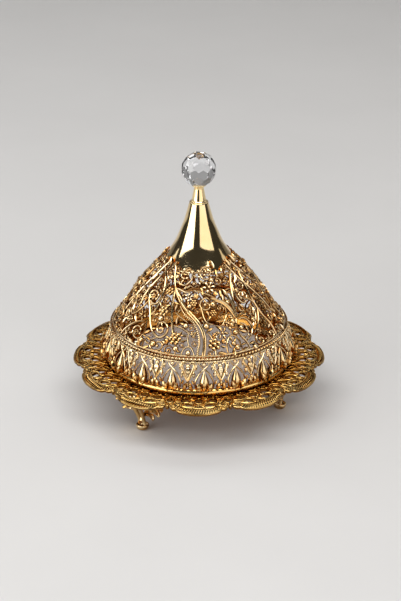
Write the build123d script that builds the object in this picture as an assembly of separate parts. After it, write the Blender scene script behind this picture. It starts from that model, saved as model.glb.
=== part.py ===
from build123d import *
import os
from math import atan2, cos, degrees, radians, sin, sqrt

# Domed serving dish: a pierced tray on three leaf feet, a loose liner dish in its well, and a tall
# pierced lid with a spun cone and a crystal ball. Millimetres, +Z up, table at z = 0, axis on Z.
# Azimuth 0 is the front (-Y) and grows towards +X. The big rings are built of flat facets, whose
# count suits both the twelve lobes of the tray and the eighteen drops of the band.

FACETS = 36
DOME_FACETS = 24
SMALL_FACETS = 18
KNOB_FACETS = 12
FIT_GAP = 0.2

# Tray: cast plate with a well, a seat for the lid and a pierced rim of twelve lobes
LOBES = 12
RIM_TIP_R = 112.5
RIM_TIP_Z = 43.6
RIM_CREST_R = 95.0
RIM_CREST_Z = 46.9
RIM_NOTCH_R = 103.4
NIB_R = 106.2
LOBE_ARC_R = 27.0
TRAY_WALL = 2.0
WELL_R = 72.5
WELL_FLOOR_Z = 38.0
SEAT_Z = 40.0
SEAT_R = 80.5
CURB_R = 82.4
CURB_Z = 45.4
CURB_WALL = 2.6

# Feet: three cast leaf feet, each on a round pad and held by one screw from above
FOOT_AZIMUTHS = {"foot_left": -42.0, "foot_right": 78.0, "foot_back": 198.0}
FOOT_TOP_Z = WELL_FLOOR_Z - TRAY_WALL
PAD_RADIUS = 74.5
PAD_R = 5.4
PAD_H = 8.6
ANKLE_Z = 12.0
LEAF_FINGERS = 7
LEAF_SPREAD = 60.0
LEAF_MIDDLE_REACH = 22.5
LEAF_SIDE_REACH = 29.0
LEAF_T = 3.0
SCREW_RADIUS = 62.0
SCREW_R = 1.5
SCREW_HEAD_R = 3.0
SCREW_HEAD_H = 1.6
SCREW_LENGTH = 9.0

# Liner dish: shallow round dish that lies loose on the floor of the well
LINER_RIM_R = 66.0
LINER_BASE_R = 54.6
LINER_RIM_Z = 45.0
LINER_T = 2.0

# Lid band: eighteen solid drops on a bulging pierced wall, with an inward flange at its top
GADROONS = 18
GADROON_OFFSET = 3.3
BAND_FOOT_Z = SEAT_Z + FIT_GAP
BAND_TOP_Z = 77.0
BAND_OUTER = [(78.6, BAND_FOOT_Z), (79.4, 43.5), (83.0, 51.0), (82.6, 61.0), (77.4, BAND_TOP_Z)]
BAND_INNER = [(81.0, 51.5), (80.5, 61.0), (76.0, 75.4)]
BAND_FOOT_INNER_R = 76.8
FLANGE_R = 71.8
FLANGE_T = 1.6
DROP_FOOT_R = 82.2
DROP_FOOT_Z = 49.6
DROP_LEAN = 6.0

# Lid dome: openwork casting with a foot ring, held on the band's flange by rivets
DOME_WALL = 2.6
STEM_HALF_W = 1.8
STEM_CREST_HALF_W = 1.0
STEM_PROUD = 1.2
STEM_SUNK = 1.6
EDGE_R = 78.2
DOME_FOOT_R = 77.2
DOME_FOOT_Z = BAND_TOP_Z + FLANGE_T
DOME_MID = (52.3, 118.0)
DOME_TOP_R = 30.6
DOME_TOP_Z = 143.4
LEDGE_R = 25.0
LEDGE_T = 1.4
RIVETS = 6
RIVET_RADIUS = 73.2
RIVET_R = 0.8
RIVET_HEAD_R = 1.2
RIVET_HEAD_H = 0.6

# Cone: spun from sheet and polished; collar, cup and ball are threaded on one stud above it
CONE_OUTER = [(28.6, 144.8), (24.8, 150.5), (20.6, 158.0), (17.2, 166.0), (13.2, 176.0), (8.2, 194.0)]
CONE_WALL = 1.2
COLLAR_LOW_R = 6.8
COLLAR_TOP_R = 4.0
COLLAR_TOP_Z = 208.0
CUP_R = 6.2
CUP_TOP_Z = 210.0
BALL_R = 15.0
BALL_Z = 224.0
STUD_R = 2.5
STUD_LOW_Z = 134.0
STUD_TOP_Z = 213.0
CLAMP_DISC_R = 27.4
CLAMP_DISC_T = 1.5
WASHER_R = 6.5
WASHER_T = 1.0
NUT_FLATS = 8.0
NUT_H = 4.0


def place(azimuth, radius, height):
    """A point on the object from its azimuth, its distance from the axis and its height."""
    return (radius * sin(radians(azimuth)), -radius * cos(radians(azimuth)), height)


def front(azimuth, shape):
    """A shape made at the front, turned round the axis to its azimuth."""
    return Rot(0, 0, azimuth) * shape


def ring_of(count, shape, offset=0.0):
    return [front(offset + 360.0 / count * i, shape) for i in range(count)]


def turned(outline, facets=FACETS):
    """A closed outline of (radius, height) points carried round Z in flat facets."""
    step = 360.0 / facets
    edges = list(zip(outline, outline[1:] + outline[:1]))
    faces = []
    for i in range(facets):
        a0, a1 = (i - 0.5) * step, (i + 0.5) * step
        for (r0, z0), (r1, z1) in edges:
            corners = [place(a0, r0, z0)]
            if r0 > 0:
                corners.append(place(a1, r0, z0))
            if r1 > 0:
                corners.append(place(a1, r1, z1))
            corners.append(place(a0, r1, z1))
            if len(corners) > 2:
                faces.append(make_face(Polyline(*corners, close=True)))
    return Solid(Shell(faces))


def leaf_outline(length, width):
    """A leaf with a point at each end and a short flat on each side."""
    side = [(-0.2 * length, width / 2), (0.2 * length, width / 2)]
    points = [(-length / 2, 0), *side, (length / 2, 0), *[(-x, -y) for x, y in side]]
    return make_face(Polyline(*points, close=True))


def crescent_outline(outer_r, inner_r):
    """The opening round the eye of a scroll: three quarters of a ring with pointed ends."""
    outer = [(outer_r * cos(radians(a)), outer_r * sin(radians(a))) for a in (-130, -65, 0, 65, 130)]
    shift = 0.12 * outer_r
    inner = [(inner_r * cos(radians(a)) - shift, inner_r * sin(radians(a))) for a in (65, -65)]
    return make_face(Polyline(*outer, *inner, close=True))


def cutter(azimuth, radius, height, lean, tilt, outline):
    """An outline pushed square through a wall that leans back by lean degrees."""
    back = radians(lean)
    wall = Plane(origin=(0, -radius, height), x_dir=(1, 0, 0), z_dir=(0, -cos(back), sin(back)))
    block = Rot(0, 0, tilt) * extrude(outline, 5, both=True)
    return front(azimuth, wall.location * block)


def lobed_outline():
    """Plan of the tray: twelve broad lobes, each an arc, with a small nib between each two."""
    step = 360.0 / LOBES
    centre = RIM_TIP_R - LOBE_ARC_R
    points = []
    for i in range(LOBES):
        middle = i * step
        for turn in (-60, -45, -27, -9, 9, 27, 45, 60):
            across = LOBE_ARC_R * sin(radians(turn))
            out = centre + LOBE_ARC_R * cos(radians(turn))
            points.append(place(middle + degrees(atan2(across, out)), sqrt(across**2 + out**2), 0))
        for shift, radius in ((-1.2, RIM_NOTCH_R), (-0.8, NIB_R), (0.8, NIB_R), (1.2, RIM_NOTCH_R)):
            points.append(place(middle + step / 2 + shift, radius, 0))
    return make_face(Polyline(*points, close=True))


def rim_openings():
    """Each lobe is pierced by two leaning leaves and a root drop, with a long leaf between lobes."""
    step = 360.0 / LOBES
    flat = 90
    leaning = [cutter(5.2 * s, 98.4, 46, flat, 50 * s, leaf_outline(12.0, 6.4)) for s in (-1, 1)]
    root = cutter(0, 90.0, 46, flat, 90, leaf_outline(11.0, 6.0))
    between = cutter(step / 2, 92.5, 46, flat, 90, leaf_outline(13.0, 5.6))
    cuts = []
    for piece in (*leaning, root, between):
        cuts += ring_of(LOBES, piece)
    return cuts


def foot_screw(clearance):
    """A countersunk screw with its head flush with the floor of the well, as a solid or a hole."""
    shank, head = SCREW_R + clearance, SCREW_HEAD_R + clearance
    low = -SCREW_LENGTH - clearance
    outline = [(0, 0), (head, 0), (shank, -SCREW_HEAD_H), (shank, low), (0, low)]
    return Pos(0, -SCREW_RADIUS, WELL_FLOOR_Z) * turned(outline, KNOB_FACETS)


def tray():
    well = [(0, WELL_FLOOR_Z), (WELL_R, WELL_FLOOR_Z), (WELL_R + 1.2, SEAT_Z), (SEAT_R, SEAT_Z)]
    rim = [(CURB_R, CURB_Z), (RIM_CREST_R, RIM_CREST_Z), (RIM_TIP_R + 2, RIM_TIP_Z - 0.6)]
    under = [(r, z - TRAY_WALL) for r, z in reversed(rim[1:])]
    under += [(CURB_R + CURB_WALL, CURB_Z - TRAY_WALL), (SEAT_R + 2, SEAT_Z - 1.5), (SEAT_R - 1.5, FOOT_TOP_Z)]
    body = turned(well + rim + under + [(0, FOOT_TOP_Z)]) & extrude(lobed_outline(), 60)
    holes = [front(a, foot_screw(0.1)) for a in FOOT_AZIMUTHS.values()]
    return body - rim_openings() - holes


def foot_screws():
    return Compound([front(a, foot_screw(0)) for a in FOOT_AZIMUTHS.values()])


def leaf_fan():
    """The acanthus leaf: fingers that spread from the ankle, the outer ones longest."""
    fan = Pos(0, 3) * RegularPolygon(4.0, 8)
    for i in range(LEAF_FINGERS):
        share = 2 * i / (LEAF_FINGERS - 1) - 1
        reach = LEAF_MIDDLE_REACH + (LEAF_SIDE_REACH - LEAF_MIDDLE_REACH) * abs(share)
        half = [(-1.4, 0), (-3.0, 0.45 * reach), (-3.4, reach - 3), (-1.5, reach)]
        finger = make_face(Polyline(*half, *[(-x, y) for x, y in reversed(half)], close=True))
        fan += Rot(0, 0, -LEAF_SPREAD * share) * finger
    return extrude(fan, LEAF_T / 2, both=True)


def foot():
    """Round pad, curved leg and leaf, with a boss and a plate that meet the tray's underside."""
    pad_side = [(0, 0), (3.6, 0), (PAD_R, 2.8), (PAD_R, 5.4), (3.0, PAD_H), (0, PAD_H)]
    pad = Pos(0, -PAD_RADIUS, 0) * turned(pad_side, KNOB_FACETS)
    leg_side = [(-1.6, PAD_H - 1), (1.6, PAD_H - 1), (1.4, 15), (6.0, 26), (5.0, FOOT_TOP_Z)]
    leg_side += [(-16.5, FOOT_TOP_Z), (-16.5, FOOT_TOP_Z - 2), (-4.0, 26), (-2.2, 15)]
    leg_face = make_face(Polyline(*[(0, -PAD_RADIUS - r, z) for r, z in leg_side], close=True))
    leg = extrude(leg_face, 1.9, both=True, dir=(1, 0, 0))
    plate_t, boss_h = 3.0, 8.0
    plate = Pos(0, -SCREW_RADIUS - 5, FOOT_TOP_Z - plate_t / 2) * Box(13, 20, plate_t)
    boss_side = [(0, -boss_h), (4.2, -boss_h), (4.2, 0), (0, 0)]
    boss = Pos(0, -SCREW_RADIUS, FOOT_TOP_Z) * turned(boss_side, KNOB_FACETS)
    leaf_plane = Plane(origin=(0, -PAD_RADIUS - 0.4, ANKLE_Z), x_dir=(1, 0, 0), z_dir=(0, -1, 0.12))
    body = pad + leg + plate + boss + leaf_plane.location * leaf_fan()
    room = Pos(0, -PAD_RADIUS, FOOT_TOP_Z / 2) * Box(90, 60, FOOT_TOP_Z)
    return (body & room) - foot_screw(0)


def liner_dish():
    """Flat base, a low sloping wall and a narrow rim."""
    low = WELL_FLOOR_Z + FIT_GAP
    outer = [(0, low), (LINER_BASE_R, low), (LINER_RIM_R, LINER_RIM_Z - 1), (LINER_RIM_R, LINER_RIM_Z)]
    inner = [(LINER_RIM_R - 4.0, LINER_RIM_Z), (LINER_BASE_R - 1, low + LINER_T), (0, low + LINER_T)]
    return turned(outer + inner)


def band_drop():
    """A solid drop that points up and leans in with the wall, standing proud of it."""
    side = [(0, 0), (2.2, 1.0), (4.3, 7.5), (3.0, 14.5), (0, 21.6)]
    return Pos(0, -DROP_FOOT_R, DROP_FOOT_Z) * Rot(-DROP_LEAN, 0, 0) * turned(side, 6)


def band_openings():
    """An upright leaf between each two drops, with a smaller one above each drop."""
    half_step = 180.0 / GADROONS
    upright = cutter(half_step, 82.8, 58.5, 0, 90, leaf_outline(19.0, 8.4))
    arch = cutter(0, 79.8, 70.0, 18, 90, leaf_outline(9.0, 6.4))
    return [cut for piece in (upright, arch) for cut in ring_of(GADROONS, piece, GADROON_OFFSET)]


def rivet(clearance):
    """A small rivet with a head under the band's flange and a head on the dome's foot ring."""
    low, high = BAND_TOP_Z - FLANGE_T, DOME_FOOT_Z
    shank, head = RIVET_R + clearance, RIVET_HEAD_R + clearance
    outline = [(0, low - RIVET_HEAD_H), (head, low - RIVET_HEAD_H), (head, low), (shank, low)]
    outline += [(shank, high), (head, high), (head, high + RIVET_HEAD_H), (0, high + RIVET_HEAD_H)]
    return Pos(0, -RIVET_RADIUS, 0) * turned(outline, 6)


def lid_band():
    low_inside = (BAND_FOOT_INNER_R, BAND_FOOT_Z)
    flange = [(FLANGE_R, BAND_TOP_Z), (FLANGE_R, BAND_TOP_Z - FLANGE_T)]
    wall = turned(BAND_OUTER + flange + list(reversed(BAND_INNER)) + [low_inside])
    pierced = front(GADROON_OFFSET, wall) - band_openings() - ring_of(RIVETS, rivet(0))
    return pierced + ring_of(GADROONS, band_drop(), GADROON_OFFSET)


def dome_profile():
    """Outer line of the dome: a shallow arc, taken at four heights."""
    arc = ThreePointArc((DOME_FOOT_R, DOME_FOOT_Z), DOME_MID, (DOME_TOP_R, DOME_TOP_Z))
    return [((arc @ t).X, (arc @ t).Y) for t in (0, 1 / 3, 2 / 3, 1)]


def dome_radius(height):
    """Outer radius of the dome at a height."""
    line = dome_profile()
    for (r0, z0), (r1, z1) in zip(line, line[1:]):
        if height <= z1:
            return r0 + (r1 - r0) * (height - z0) / (z1 - z0)
    return DOME_TOP_R


# Main stems of one half of the dome, as azimuths and heights
DOME_STEMS = [
    [(-66, 141), (-45, 132), (-41, 116), (-54, 115)],
    [(-69, 126), (-49, 107), (-35, 92), (-26, 98)],
    [(-29, 129), (-8, 112), (3, 96), (4, 80)],
    [(-29, 128), (-18, 96)],
    [(4, 127), (20, 122), (33, 104), (36, 80)],
    [(72, 142), (44, 133), (33, 106)],
    [(70, 139), (59, 118), (64, 80)],
    [(92, 80), (85, 101), (96, 130), (92, 142)],
]
# Scrolls of one half of the dome: azimuth, height, radius of the opening, way the eye leans
DOME_SCROLLS = [(-50, 88, 6.8, 150), (18, 89, 7.4, 60), (-33, 121, 6.8, 160), (48, 118, 7.2, 20)]
# Leaves of one half of the dome, in four rows: azimuth, height, length, width, tilt from level
DOME_LEAVES = [
    (-79, 88, 14, 9, 90), (-68, 88, 15, 10, 80), (-38, 85, 9, 8, 0), (-25, 87, 13, 9, 60), (-8, 89, 16, 11, 90),
    (51, 88, 16, 12, 85), (78, 88, 16, 12, 95),
    (-83, 105, 14, 9, 100), (-71, 105, 15, 9, 80), (-60, 102, 13, 8, 60), (-33, 107, 16, 10, 105),
    (-11, 103, 14, 8, 110), (9, 103, 15, 9, 80), (21, 107, 14, 9, 120),
    (47, 102, 17, 12, 95), (73, 105, 17, 12, 95),
    (-76, 120, 14, 9, 110), (-54, 124, 13, 8, 40), (-8, 121, 13, 8, 140), (6, 116, 12, 9, 90),
    (30, 119, 14, 8, 110), (69, 119, 15, 9, 70), (81, 121, 14, 9, 100),
    (-75, 135, 12, 7, 120), (-33, 137, 10, 7, 90), (-18, 134, 14, 8, 100), (-2, 135, 14, 8, 90),
    (13, 134, 14, 8, 80), (28, 133, 15, 8, 100), (52, 127, 11, 7, 130), (80, 134, 13, 8, 80),
]


def dome_stem(points):
    """A raised stem that follows the dome's wall through its points, with a narrower crest."""
    lean = atan2(DOME_FOOT_R - DOME_TOP_R, DOME_TOP_Z - DOME_FOOT_Z)
    spots = [Vector(*place(a, dome_radius(z), z)) for a, z in points]
    sections = []
    for i, (azimuth, _) in enumerate(points):
        ahead = spots[min(i + 1, len(spots) - 1)] - spots[max(i - 1, 0)]
        out = Vector(*place(azimuth, cos(lean), sin(lean)))
        across = ahead.cross(out).normalized()
        sections.append([spots[i] + across * w + out * h for w, h in (
            (-STEM_HALF_W, -STEM_SUNK), (STEM_HALF_W, -STEM_SUNK),
            (STEM_CREST_HALF_W, STEM_PROUD), (-STEM_CREST_HALF_W, STEM_PROUD))])
    faces = [make_face(Polyline(*end, close=True)) for end in (sections[0], sections[-1])]
    for near, far in zip(sections, sections[1:]):
        for j in range(4):
            k = (j + 1) % 4
            faces.append(make_face(Polyline(near[j], near[k], far[k], close=True)))
            faces.append(make_face(Polyline(near[j], far[k], far[j], close=True)))
    return Solid(Shell(faces))


def dome_openings():
    """Openings between the stems and scrolls, drawn for half the dome and used twice."""
    lean = degrees(atan2(DOME_FOOT_R - DOME_TOP_R, DOME_TOP_Z - DOME_FOOT_Z))
    cuts = []
    for azimuth, height, size, turn in DOME_SCROLLS:
        outline = crescent_outline(size, 0.62 * size)
        cuts.append(cutter(azimuth, dome_radius(height), height, lean, turn, outline))
    for azimuth, height, length, width, tilt in DOME_LEAVES:
        outline = leaf_outline(length, width)
        cuts.append(cutter(azimuth, dome_radius(height), height, lean, tilt, outline))
    return cuts + [Rot(0, 0, 180) * cut for cut in cuts]


def lid_dome():
    """One pierced wall with a foot ring, and a ledge at its top that the cone stands on."""
    line = dome_profile()
    foot_ring = [(FLANGE_R, DOME_FOOT_Z), (FLANGE_R, BAND_TOP_Z), (EDGE_R, BAND_TOP_Z), (EDGE_R, DOME_FOOT_Z)]
    ledge = [(DOME_TOP_R, DOME_TOP_Z + LEDGE_T), (LEDGE_R, DOME_TOP_Z + LEDGE_T), (LEDGE_R, DOME_TOP_Z)]
    inside = [(r - DOME_WALL, z) for r, z in (line[-1], DOME_MID, line[0])]
    wall = turned(foot_ring + line + ledge + inside, DOME_FACETS)
    stems = [dome_stem(points) for points in DOME_STEMS]
    stems += [Rot(0, 0, 180) * stem for stem in stems]
    return wall - dome_openings() - ring_of(RIVETS, rivet(0)) + stems


def dome_rivets():
    return Compound(ring_of(RIVETS, rivet(0)))


def cone_cap():
    """Spun hollow cone, closed at its top but for the stud's hole, open at its foot."""
    foot, top = CONE_OUTER[0], CONE_OUTER[-1]
    bore = STUD_R + 0.1
    under_top = (top[0] - CONE_WALL, top[1] - CONE_WALL)
    inside = [(bore, top[1]), (bore, under_top[1]), under_top, (12.0, 176.0), (19.4, 158.0)]
    return turned(CONE_OUTER + inside + [(foot[0] - CONE_WALL * 1.3, foot[1])], DOME_FACETS)


def neck_collar():
    low = CONE_OUTER[-1][1]
    bore = STUD_R + 0.1
    outline = [(bore, low), (COLLAR_LOW_R, low), (COLLAR_LOW_R, low + 1.2), (COLLAR_LOW_R - 0.8, low + 1.8)]
    return turned(outline + [(COLLAR_TOP_R, COLLAR_TOP_Z), (bore, COLLAR_TOP_Z)], SMALL_FACETS)


def ball_cup():
    bore = STUD_R + 0.1
    rim = [(CUP_R, CUP_TOP_Z - 0.5), (CUP_R, CUP_TOP_Z), (bore, CUP_TOP_Z)]
    return turned([(bore, COLLAR_TOP_Z), (COLLAR_TOP_R + 0.6, COLLAR_TOP_Z), *rim], SMALL_FACETS)


def crystal_ball():
    """Cut ball: rings of flat facets between a flat foot and a flat table, drilled for the stud."""
    flat = degrees(atan2(BALL_Z - CUP_TOP_Z, sqrt(BALL_R**2 - (BALL_Z - CUP_TOP_Z) ** 2)))
    rows = [-flat, -44, -15, 15, 44, flat]
    corner_r = BALL_R / cos(radians(15))
    side = [(corner_r * cos(radians(a)), BALL_Z + corner_r * sin(radians(a))) for a in rows[1:-1]]
    table_r = BALL_R * cos(radians(flat))
    side = [(table_r, CUP_TOP_Z), *side, (table_r, 2 * BALL_Z - CUP_TOP_Z + 1)]
    bore = [(0, STUD_TOP_Z), (STUD_R, STUD_TOP_Z), (STUD_R, side[0][1])]
    return turned(bore + side + [(0, side[-1][1])], KNOB_FACETS)


def finial_stud():
    return turned([(0, STUD_LOW_Z), (STUD_R, STUD_LOW_Z), (STUD_R, STUD_TOP_Z), (0, STUD_TOP_Z)], KNOB_FACETS)


def clamp_stack():
    """Disc, washer and nut that draw the stud down and hold the cone on the dome."""
    bore = STUD_R + 0.1
    disc_low = DOME_TOP_Z - CLAMP_DISC_T
    washer_low = disc_low - WASHER_T
    disc = turned([(bore, disc_low), (CLAMP_DISC_R, disc_low), (CLAMP_DISC_R, DOME_TOP_Z), (bore, DOME_TOP_Z)],
                  SMALL_FACETS)
    washer_side = [(bore, washer_low), (WASHER_R, washer_low), (WASHER_R, disc_low), (bore, disc_low)]
    washer = turned(washer_side, SMALL_FACETS)
    hexagon = RegularPolygon(NUT_FLATS / 2, 6, major_radius=False)
    nut = Pos(0, 0, washer_low - NUT_H) * extrude(hexagon, NUT_H) - finial_stud()
    return disc, washer, nut


def main():
    os.makedirs("parts", exist_ok=True)
    disc, washer, nut = clamp_stack()
    nodes = {
        "tray": tray(),
        "foot_screws": foot_screws(),
        "liner_dish": liner_dish(),
        "lid_band": lid_band(),
        "lid_dome": lid_dome(),
        "dome_rivets": dome_rivets(),
        "cone_cap": cone_cap(),
        "neck_collar": neck_collar(),
        "ball_cup": ball_cup(),
        "crystal_ball": crystal_ball(),
        "finial_stud": finial_stud(),
        "clamp_disc": disc,
        "clamp_washer": washer,
        "clamp_nut": nut,
    }
    one_foot = foot()
    for name, azimuth in FOOT_AZIMUTHS.items():
        nodes[name] = front(azimuth, one_foot)
    for name, shape in nodes.items():
        export_step(shape, f"parts/{name}.step")


main()
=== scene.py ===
import random
from math import cos, hypot, pi, radians, sin

import bmesh
import bpy
import numpy as np
from mathutils import Matrix, Vector


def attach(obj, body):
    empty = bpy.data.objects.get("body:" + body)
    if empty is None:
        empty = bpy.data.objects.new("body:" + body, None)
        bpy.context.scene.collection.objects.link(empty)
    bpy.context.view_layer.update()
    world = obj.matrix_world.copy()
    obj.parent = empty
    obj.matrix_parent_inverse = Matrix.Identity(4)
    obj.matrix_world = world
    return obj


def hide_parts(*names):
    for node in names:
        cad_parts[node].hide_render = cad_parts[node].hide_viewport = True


# Domed serving dish, dressed in the order it is put together: tray, feet, liner dish, lid band,
# lid dome, cone, crystal ball and the hardware inside. Metres, +Z up, the table at z = 0.
# Azimuth 0 is the front (-Y) and grows towards +X; drawings are in degrees and millimetres.
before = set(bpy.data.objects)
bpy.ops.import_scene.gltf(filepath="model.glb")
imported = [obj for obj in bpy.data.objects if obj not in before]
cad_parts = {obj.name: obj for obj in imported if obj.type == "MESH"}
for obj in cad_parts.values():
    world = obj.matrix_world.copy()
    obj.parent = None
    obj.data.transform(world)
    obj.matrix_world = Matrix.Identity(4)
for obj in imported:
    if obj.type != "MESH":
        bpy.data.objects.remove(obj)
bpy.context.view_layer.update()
MM = 0.001

# TRAY
# A cast brass plate, gold plated: a flat well, a seat for the lid and a drooping pierced rim of
# twelve lobes. Its scrolls, hatching and beads are cast with the plate, so it is all one piece.
LOBES = 12
RIM_SIDE = [
    (112.9, 42.9), (112.2, 43.6), (110.6, 44.7), (107, 45.7), (101, 46.6), (95, 46.9), (88, 46.5), (84, 45.7),
    (82.2, 44.6), (81.2, 42.6), (80.6, 40.2)]
RIM_DRAWING_R = 98.0
RIM_PLATE_T = 2.2


def smooth_line(points, steps=8):
    """A flowing line through the points, as closely spaced points."""
    line = []
    ends = [points[0], *points, points[-1]]
    for before, a, b, after in zip(ends, ends[1:], ends[2:], ends[3:]):
        for i in range(steps):
            t = i / steps
            line.append(tuple(
                0.5 * (2 * p1 + (p2 - p0) * t + (2 * p0 - 5 * p1 + 4 * p2 - p3) * t**2
                       + (3 * p1 - p0 - 3 * p2 + p3) * t**3)
                for p0, p1, p2, p3 in zip(before, a, b, after)))
    return line + [tuple(points[-1])]


def added(name, data):
    """An object of the scene from its data."""
    shape = bpy.data.objects.new(name, data)
    bpy.context.scene.collection.objects.link(shape)
    return shape


def poly_curve(name, points, closed=False):
    data = bpy.data.curves.new(name, "CURVE")
    data.dimensions = "3D"
    spline = data.splines.new("POLY")
    spline.points.add(len(points) - 1)
    for knot, point in zip(spline.points, points):
        knot.co = (*point, 1)
    spline.use_cyclic_u = closed
    return added(name, data)


class SideLine:
    """The side line that cast ornament lies on, from (radius, height) points in mm."""

    def __init__(self, name, points, drawing_r, by_height=True):
        self.line = smooth_line(points)
        self.drawing_r = drawing_r
        self.key = 1 if by_height else 0
        self.lengths = [0.0]
        for (r0, z0), (r1, z1) in zip(self.line, self.line[1:]):
            self.lengths.append(self.lengths[-1] + hypot(r1 - r0, z1 - z0))
        self.curve = poly_curve(name, [(r * MM, 0, z * MM) for r, z in self.line])

    def along(self, level):
        """Length along the line and radius there, at a height, or at a radius on the rim."""
        for i, (a, b) in enumerate(zip(self.line, self.line[1:])):
            low, high = a[self.key], b[self.key]
            if min(low, high) <= level <= max(low, high) and low != high:
                share = (level - low) / (high - low)
                length = self.lengths[i] + share * (self.lengths[i + 1] - self.lengths[i])
                return length, a[0] + share * (b[0] - a[0])
        nearer_start = abs(level - self.line[0][self.key]) < abs(level - self.line[-1][self.key])
        end = 0 if nearer_start else -1
        return self.lengths[end], self.line[end][0]

    def spot(self, azimuth, level, lift=0.0):
        """A point of the flat drawing."""
        length, _ = self.along(level)
        return Vector((radians(azimuth) * self.drawing_r, length, lift)) * MM


def flowing_curves(name, lines, resolution=4):
    """Flowing curves from (knots, closed), each knot a place and a half width."""
    data = bpy.data.curves.new(name, "CURVE")
    data.dimensions = "3D"
    data.resolution_u = resolution
    for knots, closed in lines:
        spline = data.splines.new("BEZIER")
        spline.bezier_points.add(len(knots) - 1)
        spline.use_cyclic_u = closed
        for knot, (place, width) in zip(spline.bezier_points, knots):
            knot.co = place
            knot.handle_left_type = knot.handle_right_type = "AUTO"
            knot.radius = width
    return added(name, data)


def drawn(name, side, strokes, lift=0.0, tip=0.55):
    """A flat drawing of strokes: half width in mm, then (azimuth, level) points, then True if closed."""
    lines = []
    for width, points, *closed in strokes:
        last = len(points) - 1
        lines.append(([(side.spot(azimuth, level, lift), width * MM * (1.0 if closed or 0 < i < last else tip))
                       for i, (azimuth, level) in enumerate(points)], bool(closed)))
    return flowing_curves(name, lines)


def node(tree, kind, inputs=None, **settings):
    """A node with its settings made and its inputs linked or set."""
    made = tree.nodes.new(kind)
    for key, value in settings.items():
        setattr(made, key, value)
    for key, value in (inputs or {}).items():
        if isinstance(value, bpy.types.NodeSocket):
            tree.links.new(value, made.inputs[key])
        else:
            made.inputs[key].default_value = value
    return made


def new_tree(name, labels):
    """An empty tree with named inputs; object inputs are the drawings and shapes that it uses."""
    tree = bpy.data.node_groups.new(name, "GeometryNodeTree")
    tree.is_modifier = True
    tree.interface.new_socket("Geometry", in_out="INPUT", socket_type="NodeSocketGeometry")
    for label in labels:
        kind = {"Copies": "Int", "First turn": "Float", "Drawing radius": "Float", "Spacing": "Float",
                "Thickness": "Float", "Lean": "Float", "Material": "Material"}.get(label, "Object")
        tree.interface.new_socket(label, in_out="INPUT", socket_type="NodeSocket" + kind)
    tree.interface.new_socket("Geometry", in_out="OUTPUT", socket_type="NodeSocketGeometry")
    return tree, tree.nodes.new("NodeGroupInput").outputs


def shape_of(tree, socket):
    return node(tree, "GeometryNodeObjectInfo", {"Object": socket}).outputs["Geometry"]


def bent(tree, geometry, given):
    """Nodes that bend a flat drawing round the axis, and keep the ways out and round at each point."""
    flat = node(tree, "GeometryNodeInputPosition").outputs[0]
    part = node(tree, "ShaderNodeSeparateXYZ", {"Vector": flat}).outputs
    line = shape_of(tree, given["Side line"])
    at = node(tree, "GeometryNodeSampleCurve", {"Curves": line, "Length": part["Y"]}, mode="LENGTH",
              use_all_curves=True)
    way = node(tree, "ShaderNodeSeparateXYZ", {"Vector": at.outputs["Tangent"]}).outputs
    back = node(tree, "ShaderNodeMath", {0: way["X"], 1: -1.0}, operation="MULTIPLY").outputs[0]
    out = node(tree, "ShaderNodeCombineXYZ", {"X": way["Z"], "Z": back}).outputs[0]
    lift = node(tree, "ShaderNodeVectorMath", {0: out, "Scale": part["Z"]}, operation="SCALE").outputs[0]
    point = node(tree, "ShaderNodeVectorMath", {0: at.outputs["Position"], 1: lift}, operation="ADD").outputs[0]
    turn = node(tree, "ShaderNodeMath", {0: part["X"], 1: given["Drawing radius"]}, operation="DIVIDE").outputs[0]
    angle = node(tree, "ShaderNodeMath", {0: turn, 1: pi / 2}, operation="SUBTRACT").outputs[0]
    ways = [node(tree, "ShaderNodeVectorRotate", {"Vector": v, "Angle": angle}, rotation_type="Z_AXIS").outputs[0]
            for v in (point, out, at.outputs["Tangent"])]
    across = node(tree, "ShaderNodeVectorMath", {0: ways[2], 1: ways[1]}, operation="CROSS_PRODUCT").outputs[0]
    kept = tree.nodes.new("GeometryNodeCaptureAttribute")
    for label, value in (("Out", ways[1]), ("Across", across)):
        kept.capture_items.new("VECTOR", label)
        tree.links.new(value, kept.inputs[label])
    tree.links.new(geometry, kept.inputs["Geometry"])
    moved = node(tree, "GeometryNodeSetPosition", {"Geometry": kept.outputs["Geometry"], "Position": ways[0]})
    return moved.outputs[0], kept.outputs["Out"], kept.outputs["Across"]


def finished(tree, geometry, given):
    """Nodes that end a tree: its geometry is made real and given its material."""
    real = node(tree, "GeometryNodeRealizeInstances", {"Geometry": geometry})
    done = node(tree, "GeometryNodeSetMaterial", {"Geometry": real.outputs[0], "Material": given["Material"]})
    node(tree, "NodeGroupOutput", {"Geometry": done.outputs[0]})
    return tree


def repeated(tree, geometry, given):
    """Nodes that repeat one sector round the axis and end the tree."""
    index = node(tree, "GeometryNodeInputIndex").outputs[0]
    step = node(tree, "ShaderNodeMath", {0: 2 * pi, 1: given["Copies"]}, operation="DIVIDE").outputs[0]
    turn = node(tree, "ShaderNodeMath", {0: index, 1: step, 2: given["First turn"]}, operation="MULTIPLY_ADD")
    rotation = node(tree, "ShaderNodeCombineXYZ", {"Z": turn.outputs[0]}).outputs[0]
    points = node(tree, "GeometryNodePoints", {"Count": given["Copies"]}).outputs[0]
    placed = node(tree, "GeometryNodeInstanceOnPoints", {"Points": points, "Instance": geometry, "Rotation": rotation})
    return finished(tree, placed.outputs[0], given)


def flat_lines(tree, given):
    """Nodes that take the lines of the drawing as they are drawn."""
    drawing = shape_of(tree, given["Drawing"])
    return node(tree, "GeometryNodeResampleCurve", {"Curve": drawing}, mode="EVALUATED").outputs[0]


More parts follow.
